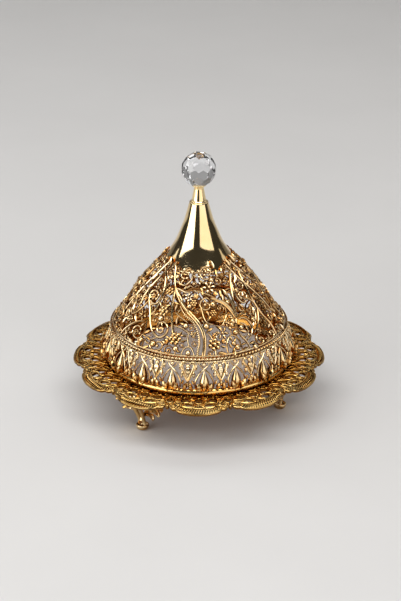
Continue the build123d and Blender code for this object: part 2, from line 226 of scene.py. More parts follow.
def swept(tree, line, facing, given):
    """Nodes that cast a line with its section, facing the given way and as wide as the line says."""
    faced = node(tree, "GeometryNodeSetCurveNormal", {"Curve": line, "Normal": facing}, mode="FREE").outputs[0]
    radius = node(tree, "GeometryNodeInputRadius").outputs[0]
    return node(tree, "GeometryNodeCurveToMesh", {
        "Curve": faced, "Profile Curve": shape_of(tree, given["Section"]), "Scale": radius,
        "Fill Caps": True}).outputs[0]


def set_on(tree, points, out, along, turn, size, given):
    """Nodes that set the cast shape on points, facing out, its length turned from the way along."""
    ahead = node(tree, "ShaderNodeVectorRotate", {"Vector": along, "Axis": out, "Angle": turn},
                 rotation_type="AXIS_ANGLE").outputs[0]
    facing = node(tree, "FunctionNodeAxesToRotation", {"Primary Axis": out, "Secondary Axis": ahead},
                  primary_axis="Z", secondary_axis="X").outputs[0]
    placed = node(tree, "GeometryNodeInstanceOnPoints", {
        "Points": points, "Instance": shape_of(tree, given["Shape"]), "Rotation": facing, "Scale": size})
    return node(tree, "GeometryNodeRealizeInstances", {"Geometry": placed.outputs[0]}).outputs[0]


# What each tree is given that bends a drawing round the axis and repeats it
ROUND_THE_AXIS = ["Side line", "Drawing radius", "Copies", "First turn", "Material"]


def stem_tree():
    """Stems: each line of a flat drawing is bent round the axis and cast with one section."""
    tree, given = new_tree("cast_stems", ["Drawing", "Section", *ROUND_THE_AXIS])
    moved, out, _ = bent(tree, flat_lines(tree, given), given)
    return repeated(tree, swept(tree, moved, out, given), given)


def sprig_tree():
    """Sprigs: one small cast shape at each marked place, turned and sized as its place says."""
    tree, given = new_tree("cast_sprigs", ["Drawing", "Shape", *ROUND_THE_AXIS])
    moved, out, across = bent(tree, shape_of(tree, given["Drawing"]), given)
    turn, size = [node(tree, "GeometryNodeInputNamedAttribute", {"Name": label}, data_type="FLOAT").outputs[0]
                  for label in ("turn", "size")]
    return repeated(tree, set_on(tree, moved, out, across, turn, size, given), given)


def row_tree():
    """Rows: one small cast shape repeated at even steps along each line of a drawing."""
    tree, given = new_tree("cast_rows", ["Drawing", "Shape", "Spacing", "Lean", *ROUND_THE_AXIS])
    moved, out, _ = bent(tree, flat_lines(tree, given), given)
    spaced = node(tree, "GeometryNodeResampleCurve", {"Curve": moved, "Length": given["Spacing"]}, mode="LENGTH")
    along = node(tree, "GeometryNodeInputTangent").outputs[0]
    radius = node(tree, "GeometryNodeInputRadius").outputs[0]
    return repeated(tree, set_on(tree, spaced.outputs[0], out, along, given["Lean"], radius, given), given)


def plate_tree():
    """Plate: a flat outline with its piercings, bent round the axis and given its thickness."""
    tree, given = new_tree("cast_plate", ["Drawing", "Thickness", *ROUND_THE_AXIS])
    filled = node(tree, "GeometryNodeFillCurve", {"Curve": flat_lines(tree, given)}, mode="TRIANGLES")
    finer = node(tree, "GeometryNodeSubdivideMesh", {"Mesh": filled.outputs[0], "Level": 1})
    moved, out, _ = bent(tree, finer.outputs[0], given)
    depth = node(tree, "ShaderNodeMath", {0: given["Thickness"], 1: -1.0}, operation="MULTIPLY").outputs[0]
    under = node(tree, "GeometryNodeExtrudeMesh", {
        "Mesh": moved, "Offset": out, "Offset Scale": depth, "Individual": False}, mode="FACES")
    both = tree.nodes.new("GeometryNodeJoinGeometry")
    tree.links.new(under.outputs["Mesh"], both.inputs[0])
    tree.links.new(moved, both.inputs[0])
    closed = node(tree, "GeometryNodeMergeByDistance", {"Geometry": both.outputs[0], "Distance": 1e-6})
    return repeated(tree, closed.outputs[0], given)


TREES = {"stems": stem_tree(), "sprigs": sprig_tree(), "rows": row_tree(), "plate": plate_tree()}


def cast(kind, side, material, drawing, copies=1, first=0.0, **values):
    """The plain mesh that one of the trees makes from a drawing, which is used up."""
    tree = TREES[kind]
    host = added("casting", bpy.data.meshes.new("casting"))
    modifier = host.modifiers.new(kind, "NODES")
    modifier.node_group = tree
    values |= {"Drawing": drawing, "Side line": side.curve, "Drawing radius": side.drawing_r * MM,
               "Copies": copies, "First turn": radians(first), "Material": material}
    for item in tree.interface.items_tree:
        if item.in_out == "INPUT" and item.name in values:
            modifier[item.identifier] = values[item.name]
    graph = bpy.context.evaluated_depsgraph_get()
    mesh = bpy.data.meshes.new_from_object(host.evaluated_get(graph), depsgraph=graph)
    for used in (host, drawing):
        bpy.data.objects.remove(used)
    return mesh


def sprigs(side, material, shape, places, copies=1, first=0.0, lift=0.0):
    """Cast shapes at places of (azimuth, level, turn in degrees, size in mm)."""
    data = bpy.data.meshes.new("places")
    data.from_pydata([side.spot(azimuth, level, lift) for azimuth, level, _, _ in places], [], [])
    for label, values in (("turn", [radians(p[2]) for p in places]), ("size", [p[3] * MM for p in places])):
        data.attributes.new(label, "FLOAT", "POINT").data.foreach_set("value", values)
    return cast("sprigs", side, material, added("places", data), copies, first, Shape=shape)


def stems(side, material, strokes, copies=1, first=0.0, lift=0.0, section=None, tip=0.55):
    drawing = drawn("stems", side, strokes, lift, tip)
    return cast("stems", side, material, drawing, copies, first, Section=section or RIDGE)


def rows(side, material, shape, strokes, spacing, copies=1, first=0.0, lift=0.0, lean=0.0):
    drawing = drawn("rows", side, strokes, lift, 1.0)
    return cast("rows", side, material, drawing, copies, first, Shape=shape, Spacing=spacing * MM, Lean=radians(lean))


def plate(side, material, outlines, thickness, copies=1, first=0.0):
    drawing = drawn("plate", side, [(1.0, points, True) for points in outlines])
    return cast("plate", side, material, drawing, copies, first, Thickness=thickness * MM)


def lofted(name, rings):
    """A closed mesh through rings of points, each end drawn together by a cap."""
    count = len(rings[0])
    points = [p for ring in rings for p in ring]
    faces = [list(range(count))[::-1], [len(points) - count + i for i in range(count)]]
    for low in range(0, len(points) - count, count):
        faces += [[low + i, low + (i + 1) % count, low + count + (i + 1) % count, low + count + i]
                  for i in range(count)]
    data = bpy.data.meshes.new(name)
    data.from_pydata(points, [], faces)
    return data


def leaf_mesh(name, width, height, middle, belly=0.42):
    """A leaf one unit long: two swelling halves, and a middle that is a vein or a rib."""
    rings = []
    for t in (0.0, 0.14, 0.38, 0.64, 0.86, 1.0):
        swell = sin(pi * min(t / belly, 1) / 2) if t < belly else cos(pi * (t - belly) / (1 - belly) / 2)
        w, h = max(width * swell, 0.01), max(height * swell**0.7, 0.004)
        rings.append([(t, -w, -0.04), (t, -0.5 * w, h), (t, 0, middle * h), (t, 0.5 * w, h), (t, w, -0.04),
                      (t, 0, -0.1)])
    return lofted(name, rings)


def rosette_mesh(name, petals, notch):
    """A flat cast flower one unit across: petals round a raised eye."""
    rings = []
    for size, tip, gap in ((1.0, -0.08, -0.08), (0.98, 0.03, 0.0), (0.7, 0.17, 0.05), (0.36, 0.06, 0.04),
                           (0.24, 0.2, 0.2)):
        ring = []
        for i in range(2 * petals):
            reach = size * 0.5 * (notch if i % 2 and size > 0.3 else 1.0)
            ring.append((reach * cos(pi * i / petals), reach * sin(pi * i / petals), gap if i % 2 else tip))
        rings.append(ring)
    return lofted(name, rings)


def curl_mesh(name, turns, thick):
    """A small volute one unit across that ends in a bead."""
    rings = []
    steps = 15
    for i in range(steps + 1):
        t = i / steps
        angle, reach = 2 * pi * turns * t, 0.5 * (1 - 0.72 * t) - thick
        w = thick * (0.45 + 0.55 * sin(pi * min(1.0, t * 1.5 + 0.1) * 0.5))
        way = Vector((cos(angle), sin(angle), 0))
        rings.append([tuple(way * (reach + w * a) + Vector((0, 0, w * b)))
                      for a, b in ((-1, -0.6), (-0.6, 0.7), (0.1, 1.2), (0.7, 0.6), (1, -0.6))])
    return lofted(name, rings)


def ball_mesh(name, squash=0.8, finer=2):
    ball = bmesh.new()
    bmesh.ops.create_icosphere(ball, subdivisions=finer, radius=0.5)
    bmesh.ops.scale(ball, vec=(1, 1, squash), verts=ball.verts)
    data = bpy.data.meshes.new(name)
    ball.to_mesh(data)
    return data


def gathered(name, parts):
    """One mesh from (mesh, place matrix) parts."""
    whole = bmesh.new()
    for mesh, place in parts:
        copy = mesh.copy()
        copy.transform(place)
        whole.from_mesh(copy)
    data = bpy.data.meshes.new(name)
    whole.to_mesh(data)
    return data


def spun(angle, out=0.0, size=1.0):
    return Matrix.Rotation(radians(angle), 4, "Z") @ Matrix.Translation((out, 0, 0)) @ Matrix.Scale(size, 4)


RIDGE = poly_curve("ridge", [
    (
        0.95, 0, 0), (0.66, 0.6, 0), (-0.05, 1.0, 0), (-0.55, 0.8, 0), (-0.55, -0.8, 0), (-0.05, -1.0, 0), (0.66,
        -0.6, 0)],
    closed=True)
STRAP = poly_curve("strap", [
    (0.62, 0.5, 0), (0.5, 0.8, 0), (-0.05, 1.0, 0), (-0.5, 0.8, 0), (-0.5, -0.8, 0), (-0.05, -1.0, 0), (0.5, -0.8, 0),
    (0.62, -0.5, 0), (0.18, 0, 0)], closed=True)

leaf = leaf_mesh("leaf", 0.24, 0.17, 0.4)
petal = leaf_mesh("petal", 0.27, 0.2, 1.1, belly=0.62)
ball = ball_mesh("ball")
flower = gathered("flower", [
    (petal, spun(60 * i + 30, 0.06, 0.44)) for i in range(6)] + [(ball,
    Matrix.Translation((0, 0, 0.08)) @ Matrix.Scale(0.24, 4))])
bead = ball_mesh("bead", 0.9, 1)
rib = leaf_mesh("rib", 0.13, 0.15, 1.2, belly=0.5)
berries = gathered("berries", [
    (bead, spun(60 * i, 0.3, 0.36)) for i in range(6)] + [(bead,
    Matrix.Translation((0, 0, 0.08)) @ Matrix.Scale(0.42, 4))])
rosette = rosette_mesh("rosette", 6, 0.62)
curl = gathered("curl", [(curl_mesh("volute", 1.35, 0.085), Matrix.Identity(4)), (bead, Matrix.Scale(0.26, 4))])
LEAF, PETAL, BALL, FLOWER, BERRIES, ROSETTE, CURL, RIB = [
    added(mesh.name, mesh) for mesh in (leaf, petal, ball, flower, berries, rosette, curl, rib)]


WELD = 1e-7
SHARP_EDGE = 42.0


def turned_mesh(outline, steps=120, first=0.0):
    """A closed outline of (radius, height) points in mm carried round the axis."""
    whole = bmesh.new()
    columns = []
    for i in range(steps):
        angle = radians(first) + 2 * pi * i / steps
        columns.append([whole.verts.new((r * MM * sin(angle), -r * MM * cos(angle), z * MM)) for r, z in outline])
    count = len(outline)
    for i, column in enumerate(columns):
        after = columns[(i + 1) % steps]
        for j in range(count):
            k = (j + 1) % count
            if outline[j][0] > 0 or outline[k][0] > 0:
                whole.faces.new((column[j], after[j], after[k], column[k]))
    bmesh.ops.remove_doubles(whole, verts=whole.verts, dist=WELD)
    data = bpy.data.meshes.new("turned")
    whole.to_mesh(data)
    return data


def rounded(outline, corner=0.4, steps=3):
    """A closed outline with its corners eased by a small radius."""
    eased = []
    count = len(outline)
    for i, here in enumerate(outline):
        before, after = Vector(outline[i - 1]), Vector(outline[(i + 1) % count])
        here = Vector(here)
        if here.x <= 0:
            eased.append(tuple(here))
            continue
        reach = min(corner, (before - here).length / 2.2, (after - here).length / 2.2)
        start, end = here + (before - here).normalized() * reach, here + (after - here).normalized() * reach
        for j in range(steps + 1):
            t = j / steps
            eased.append(tuple(start * (1 - t)**2 + here * 2 * t * (1 - t) + end * t**2))
    return eased


def set_round(mesh, azimuths):
    """Copies of a mesh that is made at the front, one at each azimuth."""
    copies = []
    for azimuth in azimuths:
        copies.append(mesh.copy())
        copies[-1].transform(Matrix.Rotation(radians(azimuth), 4, "Z"))
    return copies


def second_finish(mesh):
    """Marks a mesh for the second finish of its piece."""
    mesh.polygons.foreach_set("material_index", [1] * len(mesh.polygons))
    return mesh


def piece(name, meshes, material, body, replaced, out=0.8, up=0.6, second=None):
    """One finished piece on its body, in place of a plain solid. How far each point faces out or up
    is kept for the painted shade."""
    whole = bmesh.new()
    for mesh in meshes:
        whole.from_mesh(mesh)
    bmesh.ops.remove_doubles(whole, verts=whole.verts, dist=WELD)
    bmesh.ops.dissolve_degenerate(whole, edges=whole.edges, dist=WELD)
    bmesh.ops.recalc_face_normals(whole, faces=whole.faces)
    data = bpy.data.meshes.new(name)
    whole.to_mesh(data)
    data.materials.clear()
    data.materials.append(material)
    if second:
        data.materials.append(second)
    place, normal = np.empty(3 * len(data.vertices)), np.empty(3 * len(data.vertices))
    data.vertices.foreach_get("co", place)
    data.vertices.foreach_get("normal", normal)
    place, normal = place.reshape(-1, 3), normal.reshape(-1, 3)
    away = place[:, :2] / np.maximum(np.hypot(place[:, 0], place[:, 1]), MM)[:, None]
    # facing: 1 facing fully out and up, 0.5 across that way, 0 facing away; the gold's painted shade reads it
    facing = 0.5 + 0.5 * (out * (normal[:, :2] * away).sum(axis=1) + up * normal[:, 2])
    data.attributes.new("facing", "FLOAT", "POINT").data.foreach_set("value", facing)
    data.shade_smooth()
    data.set_sharp_from_angle(angle=radians(SHARP_EDGE))
    shape = added(name, data)
    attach(shape, body)
    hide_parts(replaced)
    return shape


def ramp(tree, source, stops):
    """A colour ramp; stops are (place, colour or grey)."""
    made = node(tree, "ShaderNodeValToRGB", {"Fac": source})
    while len(made.color_ramp.elements) < len(stops):
        made.color_ramp.elements.new(0.5)
    for element, (place, colour) in zip(made.color_ramp.elements, stops):
        element.position = place
        element.color = (*colour, 1) if isinstance(colour, tuple) else (colour, colour, colour, 1)
    return made.outputs["Color"]


def surface(name, **constants):
    """A material with its shader; a number or colour that is the same all over is set here."""
    material = bpy.data.materials.new(name)
    material.use_nodes = True
    tree = material.node_tree
    shader = tree.nodes["Principled BSDF"]
    for label, value in constants.items():
        shader.inputs[label.replace("_", " ")].default_value = value
    return material, tree, shader


def object_noise(tree, scale, detail=4.0, stretch=(1, 1, 1)):
    place = node(tree, "ShaderNodeTexCoord").outputs["Object"]
    mapped = node(tree, "ShaderNodeMapping", {"Vector": place, "Scale": stretch}).outputs[0]
    return node(tree, "ShaderNodeTexNoise", {"Vector": mapped, "Scale": scale, "Detail": detail}).outputs["Fac"]


def drifting(tree, shader, label, scale, stops, detail=4.0, stretch=(1, 1, 1)):
    """Lets an input of the shader drift between the stops over the surface."""
    tree.links.new(ramp(tree, object_noise(tree, scale, detail, stretch), stops), shader.inputs[label])


def grained(tree, shader, scale, detail, strength, depth, stretch=(1, 1, 1)):
    """A fine grain in the surface, its depth in mm."""
    bump = node(tree, "ShaderNodeBump", {
        "Height": object_noise(tree, scale, detail, stretch), "Strength": strength, "Distance": depth * MM})
    tree.links.new(bump.outputs[0], shader.inputs["Normal"])


def tinted(tree, colour, source, stops):
    """The colour under a tint that follows a ramp."""
    return node(tree, "ShaderNodeMix", {"Factor": 1.0, "A": colour, "B": ramp(tree, source, stops)},
                data_type="RGBA", blend_type="MULTIPLY").outputs["Result"]


def gold(name, light, deep, smooth=0.12, dull=0.24, grain=900, depth=0.05, stretch=(1, 1, 1), painted_shade=None,
         painted_reflection=None):
    """Gold plate on brass, whose colour drifts between two golds. A painted shade darkens what faces sideways or
    inwards. A painted reflection tints it by the distance along its axes, as if one part glowed on the next."""
    material, tree, shader = surface(name, Metallic=1.0)
    colour = ramp(tree, object_noise(tree, 45), [(0.36, deep), (0.62, light)])
    # Painted shade: the colour is multiplied by a ramp of the facing, darker where the surface turns sideways or
    # inwards
    if painted_shade:
        facing = node(tree, "ShaderNodeAttribute", attribute_name="facing").outputs["Fac"]
        colour = tinted(tree, colour, facing, painted_shade)
    # Painted reflection: a tint by radius or height stands for the glow one gilt part throws on the next
    if painted_reflection:
        axes, stops = painted_reflection
        place = node(tree, "ShaderNodeTexCoord").outputs["Object"]
        along = node(tree, "ShaderNodeVectorMath", {0: place, 1: axes}, operation="MULTIPLY").outputs[0]
        reach = node(tree, "ShaderNodeVectorMath", {0: along}, operation="LENGTH").outputs["Value"]
        colour = tinted(tree, colour, reach, stops)
    tree.links.new(colour, shader.inputs["Base Color"])
    drifting(tree, shader, "Roughness", 210, [(0.35, smooth), (0.7, dull)], 6, stretch)
    grained(tree, shader, grain, 3, 0.5, depth, stretch)
    return material


# Axes of the painted reflection: its stops are the radius times 8 or the height times 10, in metres
BY_RADIUS, BY_HEIGHT = (8, 8, 0), (0, 0, 10)
# Painted shade of the tray's castings: dark where they turn sideways, untouched where they face out and up
RIM_PAINTED_SHADE = [
    (0.0, (0.40, 0.27, 0.15)), (0.45, (0.26, 0.16, 0.08)), (0.70, (0.09, 0.05, 0.02)), (0.84, (0.46, 0.34, 0.20)),
    (0.93, (1.0, 1.0, 1.0))]
# Painted shade of the rim's ground: dark on its sloping faces, untouched where it faces up
GROUND_PAINTED_SHADE = [
    (0.0, (0.30, 0.20, 0.11)), (0.45, (0.10, 0.06, 0.03)), (0.74, (0.08, 0.045, 0.02)), (0.86, (1.0, 1.0, 1.0))]
# Painted reflection on the rim's ground: the band's orange glow next to it, greyer and darker towards the rim's edge
GROUND_PAINTED_REFLECTION = (BY_RADIUS, [
    (0.65, (1.0, 0.90, 0.60)), (0.71, (1.0, 0.86, 0.52)), (0.75, (0.74, 0.68, 0.56)), (0.83, (0.66, 0.63, 0.58)),
    (0.87, (0.30, 0.28, 0.25))])
# Painted reflection on the rim: more orange near the band, as if the band's gold glowed on it
RIM_PAINTED_REFLECTION = (BY_RADIUS, [
    (0.65, (1.0, 0.84, 0.46)), (0.73, (1.0, 0.84, 0.52)), (0.79, (1.0, 0.94, 0.76)), (0.9, (1.0, 0.98, 0.90))])
# rim_gold and rim_ground are more orange copies of the lid's gold: painted gold-on-gold reflection
rim_gold = gold("rim_gold", (0.84, 0.60, 0.26), (0.72, 0.46, 0.15), painted_shade=RIM_PAINTED_SHADE, painted_reflection=RIM_PAINTED_REFLECTION)
rim_ground = gold(
    "rim_ground", (0.95, 0.66, 0.28), (0.86, 0.54, 0.19), smooth=0.18, dull=0.34, depth=0.08, painted_shade=GROUND_PAINTED_SHADE,
    painted_reflection=GROUND_PAINTED_REFLECTION)

rim_side = SideLine("rim_side", RIM_SIDE, RIM_DRAWING_R, by_height=False)
HALF_LOBE = [
    (0, 112.4), (3.6, 112.2), (7.0, 111.3), (9.8, 109.3), (10.6, 107.6), (12.0, 107.4), (13.3, 105.8), (14.0, 103.6)]


def mirrored(points):
    return [(-a, level) for a, level in reversed(points)]


def mirrored_strokes(strokes):
    return [(width, [(-a, level) for a, level in points]) for width, points in strokes]


HOLE_SIDES = 8
HOLE_TAPER = 0.35
DEGREES = 57.3


def rim_hole(azimuth, radius, length, width, turn, wider=0.0):
    """A drop shaped hole in the rim, pointing along turn: 0 is round the rim, 90 is inwards."""
    points = []
    turn = radians(turn)
    for i in range(HOLE_SIDES):
        a = 2 * pi * i / HOLE_SIDES
        x, y = (length / 2 + wider) * cos(a), (width / 2 + wider) * sin(a) * (1 - HOLE_TAPER * cos(a))
        across, inwards = x * cos(turn) - y * sin(turn), x * sin(turn) + y * cos(turn)
        points.append((azimuth + across * DEGREES / radius, radius - inwards))
    return points


half_between = [(15, 99.6), (13.3, 97.0), (13.4, 92.8), (15, 90.4)]
rim_outline = mirrored(HALF_LOBE)[:-1] + HALF_LOBE + [(14.3, 105.2), (15, 106.2)] + half_between + [
    (15, 80.8), (7.5, 80.8), (0, 80.8), (-7.5, 80.8), (-15, 80.8)] + mirrored(half_between) + [
        (-15, 106.2), (-14.3, 105.2)]
half_holes = [
    (7.6, 92.4, 9.4, 6.4, 80), (5.2, 100.2, 8.2, 5.6, 35), (10.8, 99.2, 7.0, 4.4, 70), (11.4, 87.4, 5.0, 2.6, 95),
    (3.9, 87.0, 4.6, 2.6, 85)]
middle_holes = [(0, 92.8, 9.4, 6.4, 90), (0, 103.6, 3.6, 3.0, 0)]
all_holes = half_holes + [(-a, r, n, w, 180 - t) for a, r, n, w, t in half_holes] + middle_holes
border = mirrored(HALF_LOBE)[:-1] + HALF_LOBE
hatch_line = [(a * 0.985, r - 1.0) for a, r in border]
inner_border = [(a * 0.9, r - 6.8) for a, r in border]
half_scrolls = [
    (0.65, [
        (0.2, 96.6), (0.8, 100.8), (2.2, 103.4), (5.0, 104.0), (7.8, 103.0), (8.9, 101.0), (8.0, 97.8), (5.4, 96.6),
        (3.2, 98.0)]),
    (0.6, [(8.6, 98.2), (9.2, 101.6), (11.2, 103.2), (13.4, 102.6), (13.2, 100.0), (12.2, 97.2)]),
    (0.65, [(15, 81.8), (13.8, 86.0), (12.0, 90.2), (11.4, 93.4), (11.8, 96.4), (10.2, 97.4)]),
    (0.65, [(0, 82.4), (2.6, 85.0), (4.6, 89.6), (4.4, 93.4), (3.4, 96.6), (5.2, 97.2)]),
    (0.75, [(7.5, 81.8), (7.5, 84.6), (7.6, 87.2)]),
    (0.6, half_between),
]
scrolls = half_scrolls + mirrored_strokes(half_scrolls)
hole_lips = [(0.4, rim_hole(*h, wider=0.4), True) for h in all_holes]
half_buds = [
    (2.6, 105.0, 0, 2.8), (5.2, 96.9, 0, 1.8), (9.6, 96.9, 0, 2.0), (12.4, 104.2, 0, 2.0), (14.0, 88.4, 0, 1.8),
    (5.0, 84.6, 0, 1.6), (10.2, 84.8, 0, 1.6)]
half_blades = [(6.2, 84.4, 60, 4.2), (8.8, 84.4, 120, 4.2), (1.9, 97.4, 100, 3.4), (12.4, 82.6, -100, 3.6)]
rim_parts = [
    second_finish(plate(rim_side, rim_gold, [rim_outline, *[rim_hole(*h) for h in all_holes]], RIM_PLATE_T, LOBES)),
    stems(rim_side, rim_gold, [(0.65, border)], LOBES, lift=-0.1, tip=0.9),
    stems(rim_side, rim_gold, [(0.55, inner_border)], LOBES, lift=0.1, tip=0.8),
    stems(rim_side, rim_gold, [*scrolls, *hole_lips], LOBES, lift=0.1),
    rows(rim_side, rim_gold, RIB, [(5.6, hatch_line)], 2.25, LOBES, lift=0.05, lean=70),
    sprigs(rim_side, rim_gold, BALL, half_buds + [
        (-a, r, t, n) for a, r, t, n in half_buds] + [(0, 99.0, 0, 2.6), (0, 102.2, 0, 2.0), (15, 104.6, 0, 2.4),
        (15, 88.0, 0, 1.8)], LOBES, lift=0.3),
    sprigs(rim_side, rim_gold, LEAF, half_blades + [
        (-a, r, 180 - t, n) for a, r, t, n in half_blades], LOBES, lift=0.2),
]
well = turned_mesh(rounded([
    (
        0, 38), (70.9, 38), (72.6, 38.4), (73.7, 40), (80.6, 40.02), (81.6, 43.8), (83.4, 45.0), (84.6, 43.6), (82.6,
        38.6),
    (79, 36), (0, 36)], 0.5))
piece("tray", [*rim_parts, well], rim_gold, "base", "tray", out=0.45, up=0.87, second=rim_ground)

# FEET
# Three cast leaf feet under the rim: a round dished pad, a curved leg and an acanthus leaf whose
# fingers curl outwards. Each is held from above by one countersunk screw through the well.
FOOT_AZIMUTHS = {"foot_left": -42, "foot_right": 78, "foot_back": 198}
PAD_RADIUS = 74.5
SCREW_RADIUS = 62.0


def strand_tree():
    """Strands: lines drawn in space and cast with one section that faces forwards."""
    tree, given = new_tree("cast_strands", ["Drawing", "Section", "Material"])
    return finished(tree, swept(tree, flat_lines(tree, given), (0, -1, 0.25), given), given)


TREES["strands"] = strand_tree()


def strands(material, lines, section):
    """Strands of (half width, points) made at the front; a point is across, radius and height in mm, and
    its share of the width."""
    knotted = [([((x * MM, -r * MM, z * MM), width * MM * (share[0] if share else 1.0))
                 for x, r, z, *share in points], False) for width, points in lines]
    drawing = flowing_curves("strands", knotted, resolution=6)
    return cast("strands", rim_side, material, drawing, Section=section)


# Painted shade of the feet, kept light: pale brown where they turn sideways, untouched where they face out
FOOT_PAINTED_SHADE = [
    (0.0, (0.50, 0.37, 0.23)), (0.40, (0.62, 0.48, 0.32)), (0.58, (0.34, 0.23, 0.13)), (0.74, (0.86, 0.75, 0.58)),
    (0.86, (1.0, 1.0, 1.0))]
foot_gold = gold("foot_gold", (0.95, 0.77, 0.46), (0.90, 0.66, 0.32), smooth=0.10, dull=0.20, painted_shade=FOOT_PAINTED_SHADE)
half_fingers = [
    (2.6, [
        (0, 74.2, 12.5, 0.6), (4, 74.6, 16.2, 0.9), (10, 76, 18.2, 1.0), (16, 78.2, 18.2, 0.9),
        (18.6, 79.8, 16.8, 0.5)]),
    (2.8, [
        (2, 74.2, 15, 0.6), (8, 74.8, 20.4, 0.9), (16, 76.4, 23.6, 1.05), (23, 78.8, 24.6, 0.95),
        (26, 80.4, 23.2, 0.5)]),
    (2.8, [
        (4, 74.2, 18, 0.6), (12, 74.8, 24.4, 0.9), (19.6, 76, 28.0, 1.05), (25.6, 77.8, 29.6, 0.95),
        (28.6, 79.4, 28.6, 0.5)]),
    (2.3, [(3, 74, 20, 0.6), (9, 74.4, 27, 0.9), (16, 75, 31.6, 1.0), (20, 75.8, 33.4, 0.6)]),
    (2.1, [(1.5, 73.8, 22, 0.6), (4.5, 74, 28, 0.9), (7.5, 74.6, 33.4, 0.7)])]
fingers = half_fingers + [(w, [(-x, *rest) for x, *rest in points]) for w, points in half_fingers]
legs = [
    (2.4,
    [(0, 74.8, 4, 0.9), (0, 74.0, 9, 0.8), (0, 75.8, 15, 0.9), (0, 79.0, 22, 1.0), (0, 84.0, 29, 1.1),
    (0, 90, 33.8)]), (2.2, [(-3.4, 75.2, 4.4, 0.8), (-2.6, 75.6, 9, 0.9), (-3.2, 77.6, 15, 1.0), (-4.6, 81, 22, 1.0),
    (-7.6, 86, 29.6, 0.9)]), (2.2, [(3.4, 75.2, 4.4, 0.8), (2.6, 75.6, 9, 0.9), (3.2, 77.6, 15, 1.0),
    (4.6, 81, 22, 1.0), (7.6, 86, 29.6, 0.9)]), (2.8, [(0, 76, 20, 0.7), (0, 72, 29, 0.9), (0, 66, 34),
    (0, 60, 34.6)])]
pad = turned_mesh(rounded([
    (0, 0), (3.8, 0), (5.0, 1.2), (5.9, 3.4), (5.7, 4.8), (4.9, 5.0), (3.4, 3.7), (0, 3.2)], 0.5), 40)
pad.transform(Matrix.Translation((0, -PAD_RADIUS * MM, 0)))
boss = turned_mesh(rounded([(0, 28), (4.0, 28), (4.2, 32.8), (6.6, 33.2), (6.6, 35.9), (0, 35.9)], 0.5), 40)
boss.transform(Matrix.Translation((0, -SCREW_RADIUS * MM, 0)))
one_foot = [strands(foot_gold, fingers, STRAP), strands(foot_gold, legs, RIDGE), pad, boss]
ankle = turned_mesh(rounded([(0, 6), (1.8, 6.4), (2.9, 9.2), (1.6, 12.2), (0, 12.6)], 0.5), 24)
ankle.transform(Matrix.Translation((0, -(PAD_RADIUS + 0.2) * MM, 0)))
one_foot.append(ankle)
for name, azimuth in FOOT_AZIMUTHS.items():
    turned_foot = [copy for mesh in one_foot for copy in set_round(mesh, [azimuth])]
    piece(name + "_leaf", turned_foot, foot_gold, "base", name)

steel, tree, shader = surface("bright_steel", Metallic=1.0)
drifting(tree, shader, "Base Color", 160, [(0.3, (0.55, 0.54, 0.52)), (0.7, (0.68, 0.67, 0.65))])
drifting(tree, shader, "Roughness", 500, [(0.3, 0.22), (0.7, 0.36)], 5, (1, 1, 0.2))


def finish_solid(name, material):
    """Gives a plain solid of the frame its finish."""
    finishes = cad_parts[name].data.materials
    finishes.clear()
    finishes.append(material)


finish_solid("foot_screws", steel)

# LINER DISH
# A loose shallow dish of white glazed porcelain that lies on the floor of the well and keeps the
# food off the plating. Its glaze pools a little and its foot is bare.
porcelain, tree, shader = surface("porcelain", Specular_IOR_Level=0.55, Coat_Weight=0.4, Coat_Roughness=0.06)
drifting(tree, shader, "Base Color", 30, [(0.3, (0.88, 0.85, 0.81)), (0.7, (0.92, 0.90, 0.86))])
drifting(tree, shader, "Roughness", 240, [(0.4, 0.1), (0.7, 0.2)])
grained(tree, shader, 120, 2, 0.25, 0.1)
liner = turned_mesh(rounded([
    (
        0, 38.2), (52.6, 38.2), (55.4, 38.5), (62, 41.6), (65.3, 43.4), (66.0, 44.4), (65.4, 45.0), (63.2, 44.7),
        (60.4, 43.5),
    (54.6, 40.6), (52, 40.2), (0, 40.1)], 0.8), 120)
piece("porcelain_liner", [liner], porcelain, "liner", "liner_dish")

# LID BAND
# The cast lower part of the lid: eighteen solid drops stand in an openwork of crossing ogees and
# curled tulips, over a plain foot strip that sits on the tray and under an inward flange.
GADROONS = 18
GADROON_OFFSET = 3.3
DROP_LEAN = 6.0
DROP_RADIUS, DROP_FOOT = 82.2, 49.6
band_side = SideLine("band_side", [
    (78.7, 40.2), (79.5, 43.5), (81.2, 47.5), (82.6, 52), (82.9, 57), (82.0, 63), (80.2, 69.5), (77.6, 76.6)], 82.0)
half_ogee = [(3.2, 48.6), (4.9, 53), (5.5, 58.5), (4.3, 64), (2.3, 68), (0, 70.8), (-2.2, 73.4), (-3.3, 76.4)]
half_tulip = [(0.2, 60.2), (-1.7, 65.0), (-3.4, 70.5), (-3.9, 74.0), (-2.8, 75.8), (-1.4, 74.6)]
tulip = [[(10 + side * a, z) for a, z in half_tulip] for side in (-1, 1)]
low_line = [(0, 60.6), (-1.2, 56.8), (-2.6, 52.6), (-4.0, 48.8)]
band_strokes = [
    (0.85, half_ogee), (0.8, [(10 + a, z) for a, z in low_line]), (0.5, [(3.4, 76.0), (5, 73.8), (6.4, 76.2)])]
band_strokes += mirrored_strokes(band_strokes)
drop_line = smooth_line([
    (0.2, 21.2), (0.9, 18.2), (2.6, 14.4), (4.0, 10.6), (4.3, 8.0), (3.7, 4.6), (2.3, 1.6), (0.6, 0.2)], 3)
drop = second_finish(turned_mesh([(0, 21.6), *drop_line, (0, 0)], 20))
drop.transform(Matrix.Rotation(radians(-DROP_LEAN), 4, "X"))
drop.transform(Matrix.Translation((0, -DROP_RADIUS * MM, DROP_FOOT * MM)))
drops = set_round(drop, [GADROON_OFFSET + 360 / GADROONS * i for i in range(GADROONS)])
